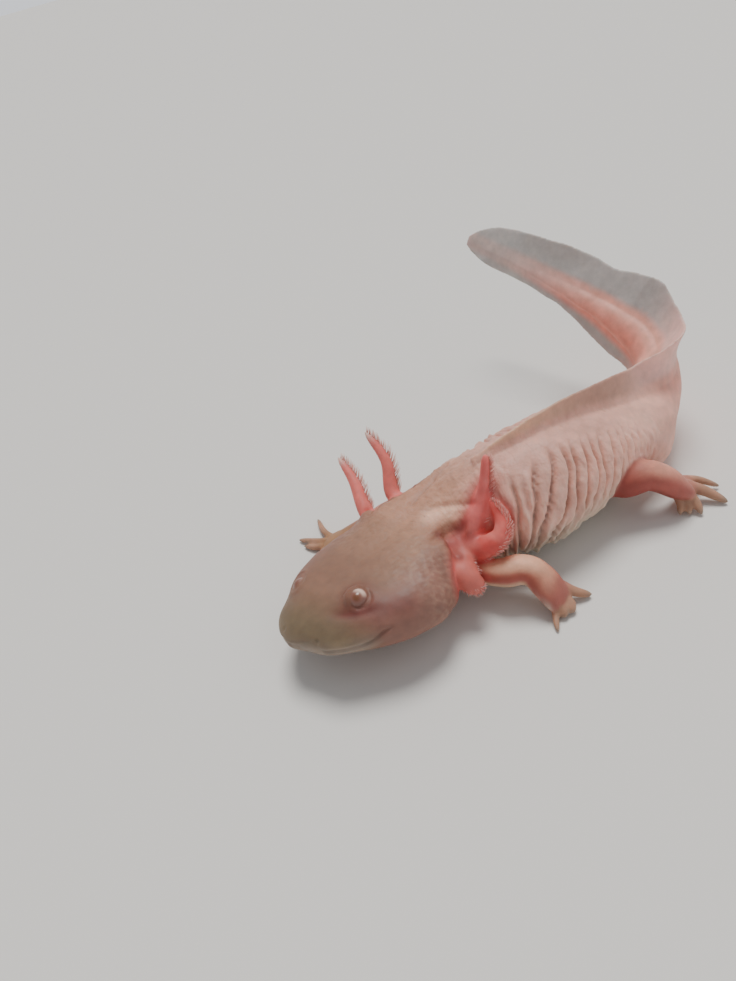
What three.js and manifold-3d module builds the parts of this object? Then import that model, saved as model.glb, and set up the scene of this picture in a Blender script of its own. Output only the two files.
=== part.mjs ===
// A life-size axolotl (Ambystoma mexicanum), pale pink, 226 mm from snout to tail tip along its
// back. It lies on its belly with the head turned to its left and a little raised, and the tail
// curled round to its right and lifted. Each part that a person would name is a mesh of its own.
// Millimetres, +Z up, floor at z = 0, head towards -X, the animal's left side towards -Y.
import * as THREE from "three";
import Module from "manifold-3d";
import { mergeVertices } from "three/addons/utils/BufferGeometryUtils.js";

const wasm = await Module();
wasm.setup();

const GAP = 0.3; // clear space between neighbouring pieces
const BODY_SIDES = 22; // points round a head or trunk section
const TAIL_SIDES = 14; // points round a tail section
const LIMB_SIDES = 10; // points round a leg section
// Sections in the neck, in each third of the trunk and in each third of the tail.
const NECK_STEPS = 4;
const TRUNK_STEPS = 10;
const TAIL_STEPS = 7;
const FIN_STEPS = 8; // sections in a length of tail fin

// Stations: distances along the back from the snout.
const MOUTH_CORNER = 16;
const NECK_START = 43;
const NECK_END = 56;
const TRUNK_CUTS = [56, 78, 100, 122];
const TAIL_CUTS = [122, 150, 188];
const FIN_START = 64;
const VENT = 124;
const GROOVES = [60.4, 113.2]; // the first and the last costal groove
const TIP_LENGTH = 8; // the last stretch of the tail, which is fin alone

const EYE_RADIUS = 2.6;
const EYE_BULGE = 3.3; // radius of the swelling round each eye
// Where the middle of each swelling is, and how far the middle of the eye stands out from it.
const EYES = {
  left: { at: 14.6, aside: 8.7, up: 5.8, back: 1.2, standsOut: 0.95 },
  right: { at: 14.2, aside: 10.1, up: 3.1, back: -1.2, standsOut: 0.95 },
};
const SNOUT_BLUNT = 1.5; // how far the snout is pushed back on its left
const GROOVE_COUNT = 12; // spaces between the costal grooves
const GROOVE_DEPTH = 0.7;
const FIN_EDGE = 0.8; // thickness of a fin at its edge
const FRINGE_THICKNESS = 0.7; // the blade that holds a gill's filaments

// The line through the middle of the body, from snout to tail tip.
const spine = new THREE.CatmullRomCurve3(
  [
    [-26.2, -67.2, 13],
    [-16, -58.8, 12.4],
    [-4.7, -52.2, 11.5],
    [5.8, -45.8, 11.2],
    [14, -40.2, 11.8],
    [26, -37.2, 13.2],
    [40, -36.6, 14.4],
    [53, -31.8, 14.6],
    [67, -25.6, 13.8],
    [80.5, -18.6, 13.5],
    [89, -10.5, 14.8],
    [93.8, -1.5, 17.4],
    [93.5, 6, 20.4],
    [89.6, 14, 24],
    [83, 25, 29.2],
    [75.5, 38, 34.4],
    [68, 51.5, 38.8],
    [59, 68.9, 42.9],
  ].map((p) => new THREE.Vector3(...p)),
  false,
  "centripetal",
);
spine.arcLengthDivisions = 600;
const LENGTH = spine.getLength();
const TAIL_END = LENGTH - TIP_LENGTH; // where the flesh ends inside the fin

// A smooth size along the body, through a few [station, size] pairs.
function along(pairs) {
  return (s) => {
    const last = pairs.length - 1;
    if (s <= pairs[0][0]) return pairs[0][1];
    if (s >= pairs[last][0]) return pairs[last][1];
    const i = pairs.findIndex((p) => p[0] > s) - 1;
    const [s0, v0] = pairs[i];
    const [s1, v1] = pairs[i + 1];
    const slope = (a, b) => (b[1] - a[1]) / (b[0] - a[0]);
    const inner = slope(pairs[i], pairs[i + 1]);
    // The end slopes are held to one sign, so that the size never overshoots a pair.
    const limited = (m) => (m * inner <= 0 ? 0 : (2 * m * inner) / (m + inner));
    const m0 = i > 0 ? limited(slope(pairs[i - 1], pairs[i])) : inner;
    const m1 = i + 1 < last ? limited(slope(pairs[i + 1], pairs[i + 2])) : inner;
    const h = s1 - s0;
    const t = (s - s0) / h;
    return (
      v0 * (1 + 2 * t) * (1 - t) ** 2 +
      h * m0 * t * (1 - t) ** 2 +
      v1 * t * t * (3 - 2 * t) +
      h * m1 * t * t * (t - 1)
    );
  };
}

// Half the width of a section, its height above the line and its depth below it.
const halfWidth = along([
  [0, 4.2], [1.5, 8.2], [5, 12], [8.5, 14.5], [12.5, 16.8], [17, 19.3], [23, 21], [28, 20.9],
  [34, 18.8], [40, 16], [47, 14.6], [58, 15.4], [74, 17], [92, 16.6], [108, 14], [120, 11.2],
  [132, 8], [145, 5.4], [157, 4.2], [172, 2.9], [192, 1.6], [TAIL_END, 0.8],
]);
const topHeight = along([
  [0, 1.6], [1.5, 2.9], [5, 4.5], [9, 5.9], [12.5, 7.1], [22, 8.6], [32, 9.6], [42, 10.4],
  [53, 12.1], [60, 14.3], [67, 16.1], [74, 17.1], [80, 17.3], [86, 16.4], [93, 15], [104, 12.6],
  [120, 9.8], [135, 8.2], [145, 7.1], [157, 6.1], [172, 4.9], [192, 3.2], [TAIL_END, 1.8],
]);
const bottomDepth = along([
  [0, 1.6], [1.5, 2.6], [5, 3.8], [9, 4.7], [12.5, 5.7], [22, 7.8], [32, 9.2], [42, 10.6],
  [56, 13.2], [70, 14.8], [92, 15], [106, 14], [118, 12.4], [132, 9], [145, 4.8], [157, 3],
  [172, 1.2], [192, 0.6], [TAIL_END, 0.5],
]);
// How square a section is: 2 is an ellipse.
const squareness = along([[0, 2.3], [20, 2.5], [40, 2.4], [60, 2.2], [110, 2.1], [130, 2]]);
// How high over the line the edge of the upper fin stands, and how deep under it the lower one.
const upperFin = along([
  [64, 15.6], [66.5, 16.9], [70, 18.6], [74, 20.0], [80, 21.3], [87, 21.3], [98, 20.5], [109, 19.4],
  [118, 18], [126, 18.6], [133, 19.4], [140, 18], [145.5, 16], [150, 16.3], [156, 18.4],
  [164, 16.6], [172, 14.1], [178, 14.3], [186, 13.6], [198, 11.8], [210, 9.6], [217, 7.6],
  [222, 5.0], [LENGTH, 1.6],
]);
const lowerFin = along([
  [122, 11.4], [128, 11], [134, 10.4], [141, 9.4], [148, 8.8], [157, 8.5], [165, 7.2], [175, 4.9],
  [184, 3.9], [198, 4.2], [210, 4.6], [217, 4.0], [222, 2.8], [LENGTH, 0.8],
]);
// Half the thickness of a fin where it leaves the body.
const finRoot = along([
  [61, 0.9], [95, 1.2], [112, 2], [130, 2.1], [145, 1.5], [165, 1], [LENGTH, 0.6],
]);
// Where the flesh stands out further: station, angle round the body (0 is the animal's left, 90 is
// up), length, spread in degrees, and amount.
const swells = [
  [32, -12, 7, 32, 1.7], [32, 192, 7, 32, 0.6], [11, -16, 4.5, 20, 1.3], [11, 196, 4.5, 20, 1.0],
  [10, 170, 3.6, 26, -1.3], [2, 205, 4.5, 45, -0.9], [62, 116, 15, 30, -1.7],
  [82, 122, 13, 26, -1.2], [41, 148, 6.5, 26, 2.9], [40, 38, 5, 18, 0.8], [47, 30, 4.6, 14, -1.0],
  [53, 26, 4.5, 14, -0.8], [90, -34, 13, 26, -2.0], [90, 214, 13, 26, -1.5],
  [104, -30, 8, 34, -1.7], [126, -8, 7, 34, -0.8], [116, -36, 5, 24, 1.9],
];
// The body's turn about its own length, towards the animal's left: the head and the tail lean.
const rollDegrees = along([
  [0, -9], [32, -9], [58, 0], [118, 0], [145, 24], [168, 30], [LENGTH, 24],
]);

const UP = new THREE.Vector3(0, 0, 1);

// Point, tailward direction, leftward direction and upward direction at a station.
function frameAt(s) {
  const u = THREE.MathUtils.clamp(s / LENGTH, 0, 1);
  const at = spine.getPointAt(u);
  const back = spine.getTangentAt(u);
  const left = new THREE.Vector3().crossVectors(back, UP).normalize();
  const up = new THREE.Vector3().crossVectors(left, back).normalize();
  const turn = THREE.MathUtils.degToRad(rollDegrees(s));
  for (const side of [left, up]) side.applyAxisAngle(back, turn);
  return { at, back, left, up };
}

function place(frame, left, up, back = 0) {
  return frame.at
    .clone()
    .addScaledVector(frame.left, left)
    .addScaledVector(frame.up, up)
    .addScaledVector(frame.back, back);
}

// A closed mesh through rings of points, with a flat fan at each end.
function loft(rings) {
  const sides = rings[0].length;
  const middle = (ring) =>
    ring.reduce((sum, p) => sum.add(p), new THREE.Vector3()).divideScalar(sides);
  const points = [...rings.flat(), middle(rings[0]), middle(rings.at(-1))];
  const first = rings.length * sides;
  const faces = [];
  for (let r = 0; r + 1 < rings.length; r++)
    for (let i = 0; i < sides; i++) {
      const a = r * sides + i;
      const b = r * sides + ((i + 1) % sides);
      faces.push(a, a + sides, b, b, a + sides, b + sides);
    }
  for (let i = 0; i < sides; i++) {
    const j = (i + 1) % sides;
    const end = first - sides;
    faces.push(first, i, j, first + 1, end + j, end + i);
  }
  const geometry = new THREE.BufferGeometry().setFromPoints(points);
  geometry.setIndex(faces);
  return geometry;
}

function toSolid(geometry) {
  const bare = geometry.clone();
  bare.deleteAttribute("normal");
  bare.deleteAttribute("uv");
  const merged = mergeVertices(bare, 1e-4);
  const build = (triVerts) =>
    new wasm.Manifold(
      new wasm.Mesh({
        numProp: 3,
        vertProperties: new Float32Array(merged.attributes.position.array),
        triVerts,
      }),
    );
  const faces = new Uint32Array(merged.index.array);
  const solid = build(faces);
  if (solid.volume() > 0) return solid;
  for (let i = 0; i < faces.length; i += 3)
    [faces[i + 1], faces[i + 2]] = [faces[i + 2], faces[i + 1]];
  return build(faces);
}

// The largest body of a cut solid, as a geometry.
function toGeometry(solid) {
  const main = solid.decompose().sort((a, b) => b.volume() - a.volume())[0];
  const { vertProperties, triVerts } = main.getMesh();
  return new THREE.BufferGeometry()
    .setAttribute("position", new THREE.BufferAttribute(vertProperties, 3))
    .setIndex(new THREE.BufferAttribute(triVerts, 1));
}

const power = (value, exponent) => Math.sign(value) * Math.abs(value) ** exponent;

// A costal groove pulls the flank in at even stations, and fades out over the back and belly.
function grooveAt(s, angle) {
  const [from, to] = GROOVES;
  if (s < from - 1 || s > to + 1) return 0;
  const turn = ((s - from) / (to - from)) * GROOVE_COUNT;
  const flank = Math.max(0, Math.cos(angle) ** 2 - 0.25) / 0.75;
  return GROOVE_DEPTH * flank * Math.cos(Math.PI * turn) ** 4;
}

function swell(s, angle) {
  return swells.reduce((sum, [station, turn, size, spread, amount]) => {
    const degrees = THREE.MathUtils.radToDeg(angle) - turn;
    const away = THREE.MathUtils.euclideanModulo(degrees + 180, 360) - 180;
    return sum + amount * Math.exp(-(((s - station) / size) ** 2) - (away / spread) ** 2);
  }, 0);
}

// One section of the head, neck, trunk or tail. It is flat where it meets the floor.
function bodyRing(s, sides, grow = 0) {
  const frame = frameAt(s);
  const shape = 2 / squareness(s);
  return Array.from({ length: sides }, (_, i) => {
    const angle = (2 * Math.PI * i) / sides;
    const wide = halfWidth(s) + grow - grooveAt(s, angle);
    const high = (Math.sin(angle) > 0 ? topHeight(s) : bottomDepth(s)) + grow;
    const across = wide * power(Math.cos(angle), shape);
    const upward = high * power(Math.sin(angle), shape);
    const grown = 1 + swell(s, Math.atan2(upward, across)) / Math.hypot(across, upward);
    const blunt = SNOUT_BLUNT * Math.max(0, 1 - s / 8) ** 2;
    const near = THREE.MathUtils.smoothstep(across / halfWidth(s), -0.9, 0.6);
    const point = place(frame, across * grown, upward * grown, blunt * near);
    point.z = Math.max(point.z, -grow);
    return point;
  });
}

function stations(from, to, count) {
  return Array.from({ length: count + 1 }, (_, i) => from + ((to - from) * i) / count);
}

function bodyLength(from, to, count, sides, grow = 0) {
  return loft(stations(from, to, count).map((s) => bodyRing(s, sides, grow)));
}

// A thin blade that stands on the body's upper or lower edge.
function finLength(from, to, count, way) {
  const edgeAt = way > 0 ? upperFin : lowerFin;
  const body = way > 0 ? topHeight : bottomDepth;
  const ring = (s) => {
    const frame = frameAt(s);
    const root = body(s) + swell(s, (way * Math.PI) / 2) + GAP + 0.25;
    const edge = Math.max(edgeAt(s), root + 0.8);
    const row = [
      [root, finRoot(s)],
      [root + 0.4 * (edge - root), 0.4 * finRoot(s) + FIN_EDGE / 4],
      [edge, FIN_EDGE / 2],
    ];
    const left = row.map(([up, half]) => place(frame, half, way * up));
    const right = row.map(([up, half]) => place(frame, -half, way * up)).reverse();
    return way > 0 ? [...left, ...right] : [...left, ...right].reverse();
  };
  return loft(stations(from, to, count).map(ring));
}

// A bent tube whose section is [half width, half height] at each share of its length.
function tube(points, sizes, sides, steps, share = [0, 1]) {
  const curve = new THREE.CatmullRomCurve3(points, false, "centripetal");
  const wide = along(sizes.map(([t, w]) => [t, w]));
  const high = along(sizes.map(([t, , h]) => [t, h]));
  const rings = stations(share[0], share[1], steps).map((t) => {
    const at = curve.getPointAt(t);
    const back = curve.getTangentAt(t);
    const left = new THREE.Vector3().crossVectors(UP, back).normalize();
    const up = new THREE.Vector3().crossVectors(back, left).normalize();
    return Array.from({ length: sides }, (_, i) => {
      const angle = (2 * Math.PI * i) / sides;
      return place({ at, back, left, up }, wide(t) * Math.cos(angle), high(t) * Math.sin(angle));
    });
  });
  return loft(rings);
}

const vector = (p) => new THREE.Vector3(...p);

const floor = toSolid(new THREE.BoxGeometry(400, 400, 40).translate(0, 0, -20));

const mouthHeight = along([
  [0, 0.1], [3, 0], [6.5, -0.3], [9.7, 0], [12, 0.7], [MOUTH_CORNER, 1.9],
]);

function headWhole() {
  const blunt = [0, 0.6, 1.5, 3, 5, 7.5, 10, 13, 16, 19.5, 23, 27, 31, 34.5, 38, NECK_START - GAP];
  return toSolid(loft(blunt.map((s) => bodyRing(s, BODY_SIDES))));
}

// The muscle that runs from the back of the head into each upper gill.
const ridges = [
  {
    line: [
      [11.2, -38.5, 14.4], [13.8, -41.8, 16.5], [16.3, -45.3, 18.2], [18.6, -47.2, 18.2],
      [20.4, -47.5, 16.8],
    ],
    sizes: [[0, 2.3, 2.3], [0.35, 3.0, 2.8], [0.75, 2.7, 2.5], [1, 1.9, 1.9]],
  },
  {
    line: [
      [1, -41, 18.0], [3.6, -37.6, 18.6], [5.6, -33.6, 18.2], [6.8, -29.5, 17.2],
    ],
    sizes: [[0, 1.4, 1.4], [0.4, 2.0, 1.9], [1, 2.2, 2.2]],
  },
];

function ridgeSolids(grow = 0) {
  return ridges.map(({ line, sizes }) => {
    const grown = sizes.map(([t, wide, high]) => [t, wide + grow, high + grow]);
    return toSolid(tube(line.map(vector), grown, LIMB_SIDES, 6));
  });
}

// The middle of the swelling round an eye, or of the eye itself.
function eyePlace(name, out = 0) {
  const { at, aside, up, back } = EYES[name];
  const side = name === "left" ? 1 : -1;
  return place(frameAt(at), side * (aside + 0.7 * out), up + 0.7 * out, back - 0.1 * out);
}

function ball(radius, at) {
  return new THREE.SphereGeometry(radius, 12, 8).translate(at.x, at.y, at.z);
}

// Everything under the mouth line, back to the corner of the mouth.
function jawRegion(grow) {
  const wide = 30;
  const deep = -30;
  const ring = (s) => {
    const frame = frameAt(s);
    const top = mouthHeight(s) + grow;
    return [
      place(frame, wide, deep),
      place(frame, wide, top),
      place(frame, -wide, top),
      place(frame, -wide, deep),
    ];
  };
  const front = ring(0).map((p) => p.addScaledVector(frameAt(0).back, -3));
  return toSolid(loft([front, ...stations(0.5, MOUTH_CORNER + grow, 8).map(ring)]));
}

function eyeGeometry(name, grow = 0) {
  return ball(EYE_RADIUS + grow, eyePlace(name, EYES[name].standsOut));
}

function headPieces() {
  const neck = frameAt(NECK_START - GAP);
  const forward = neck.back.clone().negate();
  let whole = headWhole();
  for (const ridge of ridgeSolids()) whole = whole.add(ridge);
  whole = whole.trimByPlane(forward.toArray(), forward.dot(neck.at));
  for (const name of ["left", "right"])
    whole = whole
      .add(toSolid(ball(EYE_BULGE, eyePlace(name))))
      .subtract(toSolid(eyeGeometry(name, GAP)));
  const jaw = whole.intersect(jawRegion(0));
  const skull = whole.subtract(jawRegion(GAP));
  return { skull: toGeometry(skull), jaw: toGeometry(jaw) };
}

// A leg runs from a root inside the body, over a bent joint, to the palm. Its toes fan out on the
// floor, each listed by its tip.
const ARM_JOINTS = ["upper_arm", "forearm", "hand"];
const LEG_JOINTS = ["thigh", "shank", "foot"];
const ARM_SIZES = [
  [0, 3.6, 3.6], [0.25, 3.3, 3.3], [0.4, 3.5, 3.5], [0.52, 3.9, 3.8], [0.63, 3.8, 3.7],
  [0.8, 4.2, 3.1], [0.93, 4.4, 2.2], [1, 3.8, 1.6],
];
const LEG_SIZES = [
  [0, 4.2, 4.2], [0.3, 4.7, 4.7], [0.45, 4.3, 4.3], [0.6, 3.9, 4.0], [0.75, 3.9, 3.6],
  [0.93, 3.9, 2.4], [1, 3.2, 1.5],
];
const TOE_SIZES = [
  [0, 1.35, 1.2], [0.3, 1.1, 1.0], [0.65, 0.9, 0.85], [0.88, 0.66, 0.62], [1, 0.28, 0.28],
];
const SHARES = [[0, 0.47], [0.48, 0.8], [0.81, 1]]; // of the leg's line: upper leg, lower leg, foot
const STEPS = [7, 5, 4];

const legs = [
  {
    name: "foreleg_left",
    joints: ARM_JOINTS,
    sizes: ARM_SIZES,
    line: [
      [21, -47, 9], [23, -56, 9.1], [26.9, -59, 9.6], [30.3, -59.7, 10], [32.9, -60.9, 9.6],
      [34.5, -62.4, 8.2], [35.9, -64.4, 6.2], [37.2, -65.9, 4], [38, -66.9, 2.3],
    ],
    toes: [
      { line: [[38.8, -62.8, 4.2], [42.2, -64.8, 2.4], [46, -65.8, 0.7]], thickness: 1.35 },
      { line: [[38.2, -65.6, 2.6], [39.7, -67.5, 1.9], [39.4, -69.8, 0.9]], thickness: 1.5 },
      { line: [[37.6, -66.8, 2.4], [37.6, -68.6, 1.8], [37, -70.4, 0.9]], thickness: 1.45 },
      { line: [[36.2, -67, 2.3], [35.1, -70.2, 1.3], [34.2, -73.7, 0.5]], thickness: 0.85 },
    ],
  },
  {
    name: "foreleg_right",
    joints: ARM_JOINTS,
    sizes: ARM_SIZES,
    line: [
      [21, -30, 9], [13, -21.6, 8.5], [4, -23.6, 8], [-3.4, -25.6, 6.6], [-9.4, -24.8, 4.4],
      [-12.8, -22.9, 2.8], [-15.2, -21.4, 1.7],
    ],
    toes: [
      { line: [[-14.2, -20, 2.2], [-16.2, -14.8, 1.5], [-17.4, -7.8, 0.6]], thickness: 0.95 },
      { line: [[-15.6, -20.8, 1.9], [-20, -18, 1.4], [-24.2, -14.8, 0.6]], thickness: 1.0 },
      { line: [[-16, -22, 1.7], [-19.4, -20.9, 1.2], [-22.9, -18.2, 0.6]], thickness: 0.95 },
      { line: [[-16, -23.4, 1.7], [-18.2, -24.1, 1.2], [-19.9, -24.6, 0.7]], thickness: 1.0 },
    ],
  },
  {
    name: "hindleg_left",
    joints: LEG_JOINTS,
    sizes: LEG_SIZES,
    line: [
      [62.5, -33, 11], [65.2, -41.4, 12.2], [68.9, -42.4, 12.6], [71.6, -42.6, 12.5],
      [73.7, -43.5, 11.8], [75.9, -44, 10.2], [78.4, -44.2, 7.6], [80.7, -43.8, 5],
      [82.2, -43.3, 3],
    ],
    toes: [
      { line: [[80.9, -40.6, 6], [86.8, -40.2, 3.8], [92.5, -41.9, 0.7]], thickness: 1.15 },
      { line: [[81.2, -42.4, 5.6], [86.3, -44.2, 3.3], [91.1, -48.5, 0.7]], thickness: 1.55 },
      { line: [[80.8, -43.6, 5], [82.6, -46.6, 3.1], [83.1, -50.1, 0.7]], thickness: 1.35 },
      { line: [[80.2, -44, 4.8], [80.7, -46.7, 2.8], [80.3, -49.1, 0.6]], thickness: 1.15 },
      { line: [[79, -44, 5], [78.9, -46.5, 2.8], [78.1, -48.1, 0.6]], thickness: 1.15 },
    ],
  },
  {
    name: "hindleg_right",
    joints: LEG_JOINTS,
    sizes: LEG_SIZES,
    line: [
      [73, -17, 9], [72.5, -9.5, 10], [68.5, -5, 9.8], [65.5, -2.6, 7], [63, -0.8, 4],
      [60.8, 0.6, 1.9],
    ],
    toes: [
      { line: [[62.5, 1, 2], [65, 3.8, 1.5], [67, 7, 0.7]], thickness: 1.0 },
      { line: [[61, 1.6, 2], [61.4, 4.8, 1.5], [61, 8.6, 0.7]], thickness: 1.1 },
      { line: [[59.6, 1.4, 2], [57.2, 3.8, 1.5], [55, 6.4, 0.7]], thickness: 1.0 },
      { line: [[59, 0.6, 2], [55.8, 0.9, 1.4], [52.5, 1.6, 0.6]], thickness: 0.9 },
      { line: [[59.4, -0.6, 2], [56.4, -2.2, 1.4], [53.5, -4, 0.6]], thickness: 0.85 },
    ],
  },
];

function toe({ line, thickness }) {
  const sizes = TOE_SIZES.map(([t, wide, high]) => [t, thickness * wide, thickness * high]);
  return toSolid(tube(line.map(vector), sizes, 6, 4));
}

function legSolid(leg, share, steps, grow = 0) {
  const sizes = leg.sizes.map(([t, wide, high]) => [t, wide + grow, high + grow]);
  return toSolid(tube(leg.line.map(vector), sizes, LIMB_SIDES, steps, share));
}

const legSolids = (leg) => SHARES.map((share, i) => legSolid(leg, share, STEPS[i]));

// The lower leg a little grown, as far as the foot. It cuts the toes, which reach back past it.
const shin = (leg) => legSolid(leg, [SHARES[1][0], SHARES[2][0]], STEPS[1], GAP);

function legPieces(leg, body) {
  const [upper, lower, palm] = legSolids(leg);
  const foot = leg.toes.reduce((sum, each) => sum.add(toe(each)), palm);
  const solids = [upper.subtract(body), lower.subtract(body), foot.subtract(shin(leg))];
  return leg.joints.map((joint, i) => ({
    name: `${leg.name}_${joint}`,
    geometry: toGeometry(solids[i].subtract(floor)),
  }));
}

// Each gill is a curved stalk with a thin blade along one edge, as far as its filaments reach. Each
// is cut clear of those before it in the list.
const SLENDER = [[0, 2.7], [0.3, 2.1], [0.65, 1.5], [0.9, 0.95], [1, 0.3]];
const gills = [
  {
    name: "gill_left_middle",
    line: [
      [18, -51.3, 13.5], [21, -53.1, 14.5], [23.6, -54.6, 15.5], [25.8, -55.5, 17],
      [27.9, -55.4, 18.5], [29.1, -53.9, 20.5], [29, -52, 22.5], [28.3, -50.6, 24.5],
      [27.7, -49.5, 26],
    ],
    radius: [
      [0, 3.3], [0.25, 3.2], [0.42, 2.8], [0.6, 2.2], [0.75, 1.75], [0.9, 1.2], [1, 0.4],
    ],
    fringe: [0.9, -0.5, 0.1],
    length: 0.6,
  },
  {
    name: "gill_left_lower",
    line: [
      [17.6, -52.5, 14.0], [17.1, -57.4, 13.5], [17.5, -60.1, 12.5], [18.8, -61.4, 11.5],
      [20.7, -61.2, 10.5],
    ],
    radius: [
      [0, 3.0], [0.25, 3.6], [0.5, 3.8], [0.8, 3.1], [0.95, 1.9], [1, 1],
    ],
    fringe: [0.5, -0.5, -0.8],
    length: 0.6,
  },
  {
    name: "gill_left_upper",
    line: [
      [20.7, -51.4, 16.0], [22.0, -51.2, 18.8], [23.6, -49.9, 20.8], [25.4, -48.5, 23.0],
      [26.6, -47.3, 25.5], [27.6, -46.6, 28.5], [28.4, -46.0, 31.5], [29.4, -44.9, 35.8],
    ],
    radius: [
      [0, 2.2], [0.25, 2.1], [0.42, 1.85], [0.6, 1.5], [0.8, 1.25], [0.95, 1.0], [1, 0.45],
    ],
    fringe: [1, 0.2, -0.2],
    length: 1,
  },
  {
    name: "gill_right_middle",
    line: [
      [0, -34, 13], [-2.3, -27.6, 16], [-3.2, -20, 20.5], [-5.6, -12.8, 24.6],
    ],
    radius: SLENDER,
    fringe: [1, 0.2, 0],
    length: 1,
  },
  {
    name: "gill_right_lower",
    line: [
      [4, -35, 9], [1.4, -31, 9], [-0.4, -28.4, 9.3], [-2, -26.4, 9.6],
    ],
    radius: SLENDER,
    fringe: [-0.4, 0.6, 0.2],
    length: 1,
  },
  {
    name: "gill_right_upper",
    line: [
      [9, -32, 14], [6.3, -25.5, 17], [7, -19.5, 23.5], [3.6, -12, 30],
    ],
    radius: SLENDER,
    fringe: [1, 0.2, 0],
    length: 1,
  },
];

const bladeLength = along([[0, 1.4], [0.3, 2.6], [0.7, 2.3], [0.95, 1.4], [1, 0.5]]);
const GILL_STEPS = 12;
const STALK_DEGREES = [50, 90, 140, 180, 220, 270, 310]; // round the stalk, from the blade

function gillSolid(gill, grow = 0) {
  const curve = new THREE.CatmullRomCurve3(gill.line.map(vector), false, "centripetal");
  const radius = along(gill.radius);
  const rings = stations(0, 1, GILL_STEPS).map((t) => {
    const at = curve.getPointAt(t);
    const back = curve.getTangentAt(t);
    const out = vector(gill.fringe).projectOnPlane(back).normalize();
    const across = new THREE.Vector3().crossVectors(back, out);
    const r = radius(t) + grow;
    const reach = r + gill.length * bladeLength(t);
    const half = Math.min(FRINGE_THICKNESS / 2, radius(t) * 0.7) + grow;
    const stalk = STALK_DEGREES.map((degrees) => {
      const angle = THREE.MathUtils.degToRad(degrees);
      return [r * Math.cos(angle), r * Math.sin(angle)];
    });
    const blade = [[reach, -half], [reach, half]];
    return [...stalk, ...blade].map(([x, y]) =>
      at.clone().addScaledVector(out, x).addScaledVector(across, y),
    );
  });
  return toSolid(loft(rings));
}

const COLOURS = {
  skin: 0xe3b8a8,
  head: 0xd9b39c,
  fin: 0xe6cfc8,
  gill: 0xe0705f,
  limb: 0xdc9d86,
  eye: 0xe9d9c4,
};

const EYE_ROUGHNESS = 0.1;

function piece(name, geometry, colour, roughness = 0.45) {
  const flat = geometry.index ? geometry : mergeVertices(geometry);
  flat.computeVertexNormals();
  const material = new THREE.MeshStandardMaterial({ color: COLOURS[colour], roughness });
  const mesh = new THREE.Mesh(flat, material);
  mesh.name = name;
  return mesh;
}

const axolotl = new THREE.Group();
// The body a little grown, for the legs and gills to be cut by.
const cutter = [
  [0.5, NECK_START, 14],
  [NECK_START, NECK_END, NECK_STEPS],
  [TRUNK_CUTS[0], TRUNK_CUTS[3], 3 * TRUNK_STEPS],
  [TAIL_CUTS[0], TAIL_CUTS[1], TAIL_STEPS],
]
  .map(([from, to, count]) => toSolid(bodyLength(from, to, count, BODY_SIDES, 1.4 * GAP)))
  .concat(ridgeSolids(1.4 * GAP))
  .reduce((sum, solid) => sum.add(solid));

function addHead() {
  const { skull, jaw } = headPieces();
  const neck = bodyLength(NECK_START, NECK_END - GAP, NECK_STEPS, BODY_SIDES);
  axolotl.add(piece("head", skull, "head"), piece("lower_jaw", jaw, "head"));
  axolotl.add(piece("neck", neck, "head"));
  axolotl.add(piece("eye_left", eyeGeometry("left"), "eye", EYE_ROUGHNESS));
  axolotl.add(piece("eye_right", eyeGeometry("right"), "eye", EYE_ROUGHNESS));
}

function addTrunk() {
  ["front", "middle", "rear"].forEach((name, i) => {
    const [from, to] = TRUNK_CUTS.slice(i, i + 2);
    const length = bodyLength(from, to - GAP, TRUNK_STEPS, BODY_SIDES);
    axolotl.add(piece(`trunk_${name}`, length, "skin"));
  });
}

function addTail() {
  const ends = [...TAIL_CUTS, TAIL_END];
  ["base", "middle", "tip"].forEach((name, i) => {
    const length = bodyLength(ends[i], ends[i + 1] - GAP, TAIL_STEPS, TAIL_SIDES);
    axolotl.add(piece(`tail_${name}`, length, "skin"));
  });
}

function addFins() {
  const lengths = ["tail_base", "tail_middle", "tail_tip"];
  const ends = [...TAIL_CUTS, LENGTH + GAP];
  const add = (name, from, to, steps, way) =>
    axolotl.add(piece(name, finLength(from, to - GAP, steps, way), "fin"));
  add("fin_upper_trunk", FIN_START, ends[0], TRUNK_STEPS, 1);
  lengths.forEach((name, i) => {
    add(`fin_upper_${name}`, ends[i], ends[i + 1], FIN_STEPS, 1);
    add(`fin_lower_${name}`, Math.max(ends[i], VENT), ends[i + 1], FIN_STEPS, -1);
  });
}

function addLegs() {
  for (const leg of legs)
    for (const { name, geometry } of legPieces(leg, cutter))
      axolotl.add(piece(name, geometry, "limb"));
}

function addGills() {
  let taken = legs
    .filter(({ name }) => name.startsWith("foreleg"))
    .flatMap((leg) => SHARES.map((share, i) => legSolid(leg, share, STEPS[i], GAP)))
    .reduce((sum, solid) => sum.add(solid), cutter.add(floor));
  for (const gill of gills) {
    const geometry = toGeometry(gillSolid(gill).subtract(taken));
    axolotl.add(piece(gill.name, geometry, "gill"));
    taken = taken.add(gillSolid(gill, GAP));
  }
}

addHead();
addTrunk();
addTail();
addFins();
addLegs();
addGills();

// The origin is in the middle of the space the animal takes up, on the floor.
const space = new THREE.Box3().setFromObject(axolotl);
const middle = space.getCenter(new THREE.Vector3());
axolotl.position.set(-middle.x, -middle.y, -space.min.z);

export default axolotl;
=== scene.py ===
import math

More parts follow.
